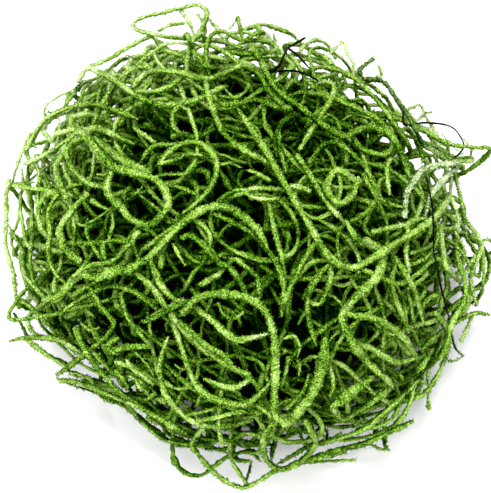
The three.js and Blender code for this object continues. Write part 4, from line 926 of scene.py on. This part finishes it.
class Builder:
    """Gathers the skins of many stems for one mesh, with a tone and a painted shade for the material at
    each corner.
    """

    def __init__(self, rng):
        self.rng = rng
        self.corners, self.triangles, self.values = [], [], []
        self.count = 0

    def put(self, corners, triangles, tone, shade):
        self.corners.append(corners)
        self.triangles.append(triangles + self.count)
        values = np.empty((len(corners), 2))
        values[:, 0] = tone
        values[:, 1] = shade
        self.values.append(values)
        self.count += len(corners)

    def stem(self, line, radius, skin, tone=None, club=1.0):
        rng = self.rng
        tone = rng.uniform(0, 1) if tone is None else tone
        points, places = evenly(line, skin.spacing)
        tangents, normals, binormals = frames_along(points)
        radii = np.full(len(points), radius * skin.body)
        for length, strength in SWELLS:
            length = length * rng.uniform(*SWELL_STRETCH)
            radii *= 1 + strength * np.sin(2 * math.pi * (places / length + rng.uniform()))
        radii *= self.taper(places) * self.taper(places[-1] - places)
        radii *= np.interp(places / places[-1], CLUB_PLACES, (1, club, club))
        angles = 2 * math.pi * np.arange(skin.sides) / skin.sides
        spin = np.cos(angles)[None, :, None] * normals[:, None]
        spin = spin + np.sin(angles)[None, :, None] * binormals[:, None]
        stand = 1 + skin.rough * np.clip(rng.normal(size=spin.shape[:2]), -ROUGHEST, ROUGHEST)
        twist = 2 * math.pi * (places / rng.uniform(*TWIST_LENGTH) + rng.uniform())
        stand += FLAT * np.cos(2 * angles[None] - twist[:, None])
        slide = skin.spacing * rng.uniform(-SLIDE, SLIDE, spin.shape[:2])
        slide[[0, -1]] = 0
        rings = points[:, None] + spin * (radii[:, None] * stand)[..., None]
        rings = rings + tangents[:, None] * slide[..., None]
        tips = points[[0, -1]] + tangents[[0, -1]] * (radius * TIP) * np.array([[-1], [1]])
        # Painted shade at each corner: darker deep in the mound, near the floor and on the sides turned
        # from the light, and paler at the rim as painted light.
        shade = painted_shade(points)
        lit = lit_way(points)
        corners = np.concatenate([rings.reshape(-1, 3), tips])
        shades = shade[:, None] + underside(spin, lit[:, None])
        shades = np.concatenate([shades.ravel(), shade[[0, -1]]])
        self.put(corners, tube_triangles(len(points), skin.sides), tone, shades)
        if skin.scales:
            self.scales(points, tangents, normals, binormals, radii, skin, tone, shade, lit)

    def taper(self, distance):
        """How thick a stem is near one of its ends, which tapers or is cut off blunt."""
        tapers = self.rng.random() < TAPER_CHANCE
        length = self.rng.uniform(*TAPER_LENGTH)
        if tapers:
            return TAPERED_END + (1 - TAPERED_END) * np.clip(distance / length, 0, 1) ** TAPER_CURVE
        return np.where(distance > 0, 1, BLUNT_END)

    def scales(self, points, tangents, normals, binormals, radii, skin, tone, shade, lit):
        """Small pointed scales that stand off a stem and lean along it."""
        rng = self.rng
        count = int(skin.scales * skin.spacing * len(points))
        at = rng.integers(0, len(points), count)
        angle = rng.uniform(0, 2 * math.pi, count)[:, None]
        out = np.cos(angle) * normals[at] + np.sin(angle) * binormals[at]
        aside = np.cross(out, tangents[at])
        foot = points[at] + out * (radii[at] * SCALE_FOOT)[:, None]
        foot = foot + tangents[at] * rng.uniform(-0.5, 0.5, (count, 1)) * skin.spacing
        length = rng.uniform(*SCALE_LENGTH, (count, 1))
        tip = foot + out * (SCALE_LIFT * radii[at][:, None] + length * SCALE_STAND)
        tip = tip + tangents[at] * length * rng.uniform(-SCALE_LEAN, SCALE_LEAN, (count, 1))
        tip = tip + aside * length * rng.uniform(-SCALE_TILT, SCALE_TILT, (count, 1))
        half = SCALE_WIDTH / 2
        cosine, sine = FOOT_CORNER
        corners = np.stack(
            [
                foot + aside * half,
                foot - (aside * cosine + tangents[at] * sine) * half,
                foot - (aside * cosine - tangents[at] * sine) * half,
                tip,
            ],
            1,
        )
        one = np.array([[0, 2, 1], [0, 1, 3], [1, 2, 3], [2, 0, 3]])
        triangles = (one.shape[0] * np.arange(count))[:, None, None] + one
        # The scales get the same painted shade as their stem, and are darker on the sides turned from the
        # light.
        shades = shade[at] + underside(out, lit[at])
        self.put(corners.reshape(-1, 3), triangles.reshape(-1, 3), tone, np.repeat(shades, 4))

    def made(self, name, material):
        """The piece: a mesh of its own that stands at the origin."""
        corners = np.concatenate(self.corners) * MM
        corners[:, 2] = np.maximum(corners[:, 2], 0)
        triangles = np.concatenate(self.triangles)
        values = np.concatenate(self.values)
        mesh = bpy.data.meshes.new(name)
        mesh.vertices.add(len(corners))
        mesh.vertices.foreach_set("co", corners.astype(np.float32).ravel())
        mesh.loops.add(3 * len(triangles))
        mesh.loops.foreach_set("vertex_index", triangles.astype(np.int32).ravel())
        mesh.polygons.add(len(triangles))
        mesh.polygons.foreach_set("loop_start", np.arange(0, 3 * len(triangles), 3, dtype=np.int32))
        mesh.polygons.foreach_set("use_smooth", np.ones(len(triangles), dtype=bool))
        mesh.update(calc_edges=True)
        for k, attribute in enumerate(("tone", "shade")):
            data = mesh.attributes.new(attribute, "FLOAT", "POINT").data
            data.foreach_set("value", values[:, k].astype(np.float32))
        mesh.materials.append(material)
        piece = bpy.data.objects.new(name, mesh)
        bpy.context.scene.collection.objects.link(piece)
        return piece


def tube_triangles(rings, sides):
    """The triangles of a closed tube: its rings, and a corner at each end."""
    ring = np.arange(rings - 1)[:, None] * sides
    side = np.arange(sides)[None]
    a, b = ring + side, ring + (side + 1) % sides
    c, d = a + sides, b + sides
    walls = np.concatenate([np.stack([a, b, d], -1), np.stack([a, d, c], -1)]).reshape(-1, 3)
    first, last = rings * sides, rings * sides + 1
    side = side[0]
    following = (side + 1) % sides
    foot = np.stack([following, side, np.full(sides, first)], 1)
    end = (rings - 1) * sides
    head = np.stack([end + side, end + following, np.full(sides, last)], 1)
    return np.concatenate([walls, foot, head])


# Painted shade and painted light, which go into the colour through the shade attribute.
LIT_DEPTH = 3.0  # down to here, in millimetres, the bunch is painted as in full light
DARK_DEPTH = 19.0  # from here inwards the painted shade is as dark as it gets
DARK_CURVE = 1.5
FOOT_SHADE = 0.2  # how much darker the painted shade is at the floor
RIM_LIGHT_SPAN = (0.15, 1.05)  # from and to this share of the mound's width the stems are painted paler, as painted light
RIM_LIGHT_CURVE = 1.8
RIM_LIGHT = 0.68  # how much paler the painted light makes the rim behind
RIM_LIGHT_AHEAD = 0.2  # the same on the show side, where the bunch shades itself
AHEAD_TO_BACK = 0.7  # how soon the one turns into the other


def painted_shade(points):
    """Painted shade for a place: 1 from DARK_DEPTH inwards, 0 at the outside, more near the floor, and less
    at the thin rim, which painted light makes pale.
    """
    depth = (1 - share_of(points)) * MOUND.mean()
    depth = np.minimum(depth, points[:, 2] + LIT_DEPTH)
    dark = np.clip((depth - LIT_DEPTH) / (DARK_DEPTH - LIT_DEPTH), 0, 1) ** DARK_CURVE
    width = np.linalg.norm(points[:, :2], axis=1) / MOUND[0]
    start, end = RIM_LIGHT_SPAN
    back = np.clip(0.5 + AHEAD_TO_BACK * points[:, 1] / MOUND[1], 0, 1)
    light = RIM_LIGHT_AHEAD + (RIM_LIGHT - RIM_LIGHT_AHEAD) * back
    height = np.clip(points[:, 2] / MIDDLE[2], 0, 1)
    # Painted light: the rim is coloured paler up high and behind, the more so the further out it lies.
    pale = light * height * np.clip((width - start) / (end - start), 0, 1) ** RIM_LIGHT_CURVE
    return dark + FOOT_SHADE * (1 - height) - pale


# Painted shade on the sides and undersides of stems, turned away from a light from out of the mound and
# above.
SKY_SHARE = 0.7  # how far the light leans from straight out of the mound towards straight down
UNDERSIDE_SHADE = 0.5
UNDERSIDE_CURVE = 3


def lit_way(points):
    """The way that the light comes from at a place: between straight out of the mound and straight up."""
    return unit(outward(points) + (0, 0, SKY_SHARE))


def underside(facing, lit):
    """Painted shade: how much darker the sides and the underside of a stem are, turned away from the light,
    where its scales shade each other.
    """
    away = 1 - np.clip((facing * lit).sum(-1), 0, 1)
    return UNDERSIDE_SHADE * away**UNDERSIDE_CURVE


# ---- materials ---------------------------------------------------------------------------------


def node(tree, kind, **inputs):
    """A shader node, with its inputs set to values or linked to sockets."""
    made = tree.nodes.new(kind)
    for name, value in inputs.items():
        socket = made.inputs[name.replace("_", " ")]
        if isinstance(value, bpy.types.NodeSocket):
            tree.links.new(value, socket)
        else:
            socket.default_value = value
    return made


def arithmetic(tree, operation, *values):
    """The result of a sum of numbers and sockets."""
    made = tree.nodes.new("ShaderNodeMath")
    made.operation = operation
    for socket, value in zip(made.inputs, values):
        if isinstance(value, float):
            socket.default_value = value
        else:
            tree.links.new(value, socket)
    return made.outputs[0]


def weighed(tree, base, terms):
    """base plus each value's difference from its middle, times its weight."""
    total = base
    for value, middle, weight in terms:
        off = arithmetic(tree, "SUBTRACT", value, middle)
        total = arithmetic(tree, "MULTIPLY_ADD", off, weight, total)
    return total


def ramp(tree, value, stops):
    made = node(tree, "ShaderNodeValToRGB", Fac=value)
    elements = made.color_ramp.elements
    while len(elements) < len(stops):
        elements.new(0.5)
    for element, (place, colour) in zip(elements, stops):
        element.position = place
        element.color = (*colour, 1)
    return made.outputs["Color"]


PATCHES = 220.0  # how fine the patches, the grain and the scales of a stem are, counted in a metre
GRAIN = 3000.0
FLAKES = 2400.0
TONE_WEIGHT = 0.28  # how much each of these moves the colour along its ramp
SHADE_WEIGHT = -0.56
PATCH_WEIGHT = 0.8
GRAIN_WEIGHT = 1.4
FLAKE_WEIGHT = -0.4
FLAKE_MIDDLE = 0.45
FLAKE_RELIEF = -0.6
RELIEF_DEPTH = 0.5

MOSS_STOPS = [
    (0.0, (0.001, 0.007, 0.0005)),
    (0.2, (0.008, 0.042, 0.001)),
    (0.38, (0.046, 0.145, 0.004)),
    (0.54, (0.165, 0.350, 0.023)),
    (0.70, (0.330, 0.540, 0.088)),
    (0.85, (0.480, 0.670, 0.190)),
    (1.0, (0.680, 0.820, 0.450)),
]


def moss_material(name, stops, level=0.53, roughness=0.85):
    material = bpy.data.materials.new(name)
    material.use_nodes = True
    tree = material.node_tree
    tree.nodes.clear()
    place = tree.nodes.new("ShaderNodeTexCoord").outputs["Object"]
    tone = tree.nodes.new("ShaderNodeAttribute")
    tone.attribute_name = "tone"
    shade = tree.nodes.new("ShaderNodeAttribute")
    shade.attribute_name = "shade"
    patches = node(tree, "ShaderNodeTexNoise", Vector=place, Scale=PATCHES, Detail=2.0)
    grain = node(tree, "ShaderNodeTexNoise", Vector=place, Scale=GRAIN, Detail=2.0, Roughness=0.7)
    scales = node(tree, "ShaderNodeTexVoronoi", Vector=place, Scale=FLAKES)
    # The shade attribute paints shade, and the rim's painted light, into the base colour, and the grain
    # fades where the painted shade is deep.
    upper = arithmetic(tree, "SUBTRACT", 1.0, shade.outputs["Fac"])
    speckles = arithmetic(tree, "MULTIPLY", arithmetic(tree, "SUBTRACT", grain.outputs["Fac"], 0.5), upper)
    value = weighed(
        tree,
        level,
        [
            (tone.outputs["Fac"], 0.5, TONE_WEIGHT),
            (shade.outputs["Fac"], 0.0, SHADE_WEIGHT),
            (patches.outputs["Fac"], 0.5, PATCH_WEIGHT),
            (speckles, 0.0, GRAIN_WEIGHT),
            (scales.outputs["Distance"], FLAKE_MIDDLE, FLAKE_WEIGHT),
        ],
    )
    colour = ramp(tree, value, stops)
    heights = [(grain.outputs["Fac"], 0.0, 1.0), (scales.outputs["Distance"], 0.0, FLAKE_RELIEF)]
    relief = weighed(tree, 0.0, heights)
    bump = node(tree, "ShaderNodeBump", Height=relief, Strength=1.0, Distance=RELIEF_DEPTH * MM)
    shader = tree.nodes.new("ShaderNodeBsdfPrincipled")
    tree.links.new(colour, shader.inputs["Base Color"])
    tree.links.new(bump.outputs["Normal"], shader.inputs["Normal"])
    shader.inputs["Roughness"].default_value = roughness
    shader.inputs["Specular IOR Level"].default_value = 0.0
    output = tree.nodes.new("ShaderNodeOutputMaterial")
    tree.links.new(shader.outputs["BSDF"], output.inputs["Surface"])
    return material


PALE_STOPS = [
    (0.0, (0.004, 0.010, 0.002)),
    (0.34, (0.030, 0.080, 0.010)),
    (0.5, (0.330, 0.500, 0.170)),
    (0.7, (0.640, 0.780, 0.420)),
    (1.0, (0.880, 0.950, 0.760)),
]
DARK_STOPS = [
    (0.0, (0.001, 0.003, 0.001)),
    (0.4, (0.010, 0.040, 0.004)),
    (0.6, (0.060, 0.160, 0.015)),
    (1.0, (0.400, 0.600, 0.160)),
]
BARE_STOPS = [
    (0.0, (0.001, 0.001, 0.001)),
    (0.7, (0.005, 0.006, 0.004)),
    (1.0, (0.050, 0.060, 0.030)),
]

MATERIALS = {
    GREEN: moss_material("dyed_moss", MOSS_STOPS),
    PALE: moss_material("faded_moss", PALE_STOPS),
    DARK: moss_material("dark_moss", DARK_STOPS),
    BARE: moss_material("bare_wiry_fibre", BARE_STOPS, 0.5, 0.5),
}


# ---- the pieces --------------------------------------------------------------------------------


def place_piece(piece, slot, *replaced):
    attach(piece, "root")
    if replaced:
        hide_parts(*replaced)


def add_piece(name, stems, *replaced, colour=GREEN):
    """One piece of many stems. Each is a line, a radius and a skin, and may have a tone and a club end."""
    builder = Builder(rng)
    for stem in stems:
        builder.stem(*stem)
    place_piece(builder.made(name, MATERIALS[colour]), colour, *replaced)


def traced(rows, shell, up):
    """The stems of a list above, laid over or under the pile."""
    for thick, *tone, route in rows:
        line = smooth(thrown_on_mound(route, shell), PIECES_PER_SPAN)
        lay(line, thick / 2, up, pile, rounds=FILL_ROUNDS)
        pile.add(samples_of(line)[0], thick / 2)
        yield line, thick / 2, NEAR, *tone


SKIN_SEED = 97
TONES = (0.2, 0.8)
LOOP_PLUMP = (0.75, 1.02)
TRACED_SHELL = 0.93

rng = np.random.default_rng(SKIN_SEED)
pile = Pile()
loops = tangle_lines(pile)
on_top = [(stem, stem_lines(stem, pile)) for stem in FIBRES_BELOW + STEMS + FIBRES_ON_TOP]

for stem, lines in on_top:
    tone = rng.uniform(*TONES) if stem.tone is None else stem.tone
    skin = BARE_SKIN if stem.colour == BARE else FINE
    skinned = [(line, radius * stem.plump, skin, tone, stem.club) for line, radius in lines]
    add_piece(stem.name + "_scaly", skinned, stem.name, colour=stem.colour)

# Each loop's thickness is drawn just before its skin is.
loop_stems = ((line, TANGLE_THICK / 2 * rng.uniform(*LOOP_PLUMP), MIDDLING) for line in loops)
add_piece("tangle_loops", loop_stems, "moss_tangle")

traced_stems = [*traced(LOWER_STEMS, TRACED_SHELL, inward), *traced(OVER_STEMS, TRACED_SHELL, up_for_drawn)]
add_piece("lower_traced_stems", traced_stems)
add_piece("rim_stems", traced(RIM_STEMS, ROUTE_SHELL, away_from_eye))

for name, habit, skin, *laid in (
    ("upper_curls", CURLS, COARSE, pile, inward),
    ("upper_stems", UPPER, COARSE, pile, inward),
    ("middle_stems", BETWEEN, COARSE, pile, inward),
    ("stray_stems", STRAYS, COARSE, pile, away_from_eye),
    ("foot_stems", FOOT, LOW, pile, inward),
    ("inner_stems", LOWER, DIM),
):
    add_piece(name, [(line, radius, skin) for line, radius in fill_lines(habit, *laid)])

# The heart: a lumpy ball inside the bunch, coloured near black as painted shade, where no light reaches.
HEART = np.array([39.0, 39.0, 17.0])
HEART_LUMPS = 0.04
HEART_FINENESS = 4


def heart():
    bpy.ops.mesh.primitive_ico_sphere_add(subdivisions=HEART_FINENESS, radius=1)
    made = bpy.context.object
    made.name = made.data.name = "dark_heart"
    ball = np.empty(3 * len(made.data.vertices), np.float32)
    made.data.vertices.foreach_get("co", ball)
    ball = ball.reshape(-1, 3).astype(float)
    # A few waves across the ball make it uneven.
    lump = np.sin(5 * ball[:, 0] + 1) + np.sin(6 * ball[:, 1] - 2 * ball[:, 0]) * np.cos(5 * ball[:, 2])
    ball *= (1 + HEART_LUMPS * (lump - 0.5))[:, None]
    places = ball * HEART + MIDDLE
    made.data.vertices.foreach_set("co", (places * MM).astype(np.float32).ravel())
    made.data.update()
    made.data.attributes.new("tone", "FLOAT", "POINT")
    # Painted shade: the whole heart is as dark as it gets.
    shade = made.data.attributes.new("shade", "FLOAT", "POINT")
    shade.data.foreach_set("value", np.ones(len(places), np.float32))
    made.data.materials.append(MATERIALS[DARK])
    made.data.shade_smooth()
    return made


place_piece(heart(), DARK)

# ---- floor, light and camera -------------------------------------------------------------------


FLOOR_SIZE = 4  # in metres
FLOOR_DROP = 0.05  # how far below the bunch it lies
FLOOR_PALENESS = 0.93
FLOOR_ROUGHNESS = 0.9


def stage():
    bpy.ops.mesh.primitive_plane_add(size=FLOOR_SIZE, location=(0, 0, -FLOOR_DROP * MM))
    floor = bpy.context.object
    floor.name = "pale_floor"
    material = bpy.data.materials.new("pale_floor")
    material.use_nodes = True
    shader = material.node_tree.nodes["Principled BSDF"]
    shader.inputs["Base Color"].default_value = (FLOOR_PALENESS, FLOOR_PALENESS, FLOOR_PALENESS, 1)
    shader.inputs["Roughness"].default_value = FLOOR_ROUGHNESS
    floor.data.materials.append(material)


def area_light(name, place, size, power):
    """A round lamp that shines at the bunch: its place and size in metres, its power in watts."""
    light = bpy.data.lights.new(name, "AREA")
    light.shape = "DISK"
    light.size = size
    light.energy = power
    lamp = bpy.data.objects.new(name, light)
    lamp.location = place
    lamp.rotation_euler = (Vector(MIDDLE * MM) - lamp.location).to_track_quat("-Z", "Y").to_euler()
    bpy.context.scene.collection.objects.link(lamp)


PICTURE_WIDTH = 109.0  # what the picture takes in at the mound's middle
SENSOR = 36.0


def camera():
    lens = bpy.data.cameras.new("camera")
    lens.sensor_fit = "HORIZONTAL"
    lens.sensor_width = SENSOR
    lens.lens = SENSOR * EYE_DISTANCE / PICTURE_WIDTH
    made = bpy.data.objects.new("camera", lens)
    made.location = EYE * MM
    made.rotation_euler = Vector(-TO_EYE).to_track_quat("-Z", "Y").to_euler()
    bpy.context.scene.collection.objects.link(made)
    bpy.context.scene.camera = made


WORLD_LIGHT = 0.74

stage()
area_light("key", (-0.04, 0.0, 0.97), 0.35, 12)
area_light("fill", (-0.3, -0.6, 0.7), 0.8, 7)
world = bpy.data.worlds.new("soft_white")
world.use_nodes = True
background = world.node_tree.nodes["Background"]
background.inputs["Color"].default_value = (1, 1, 1, 1)
background.inputs["Strength"].default_value = WORLD_LIGHT
bpy.context.scene.world = world
bpy.context.scene.view_settings.view_transform = "Standard"
camera()
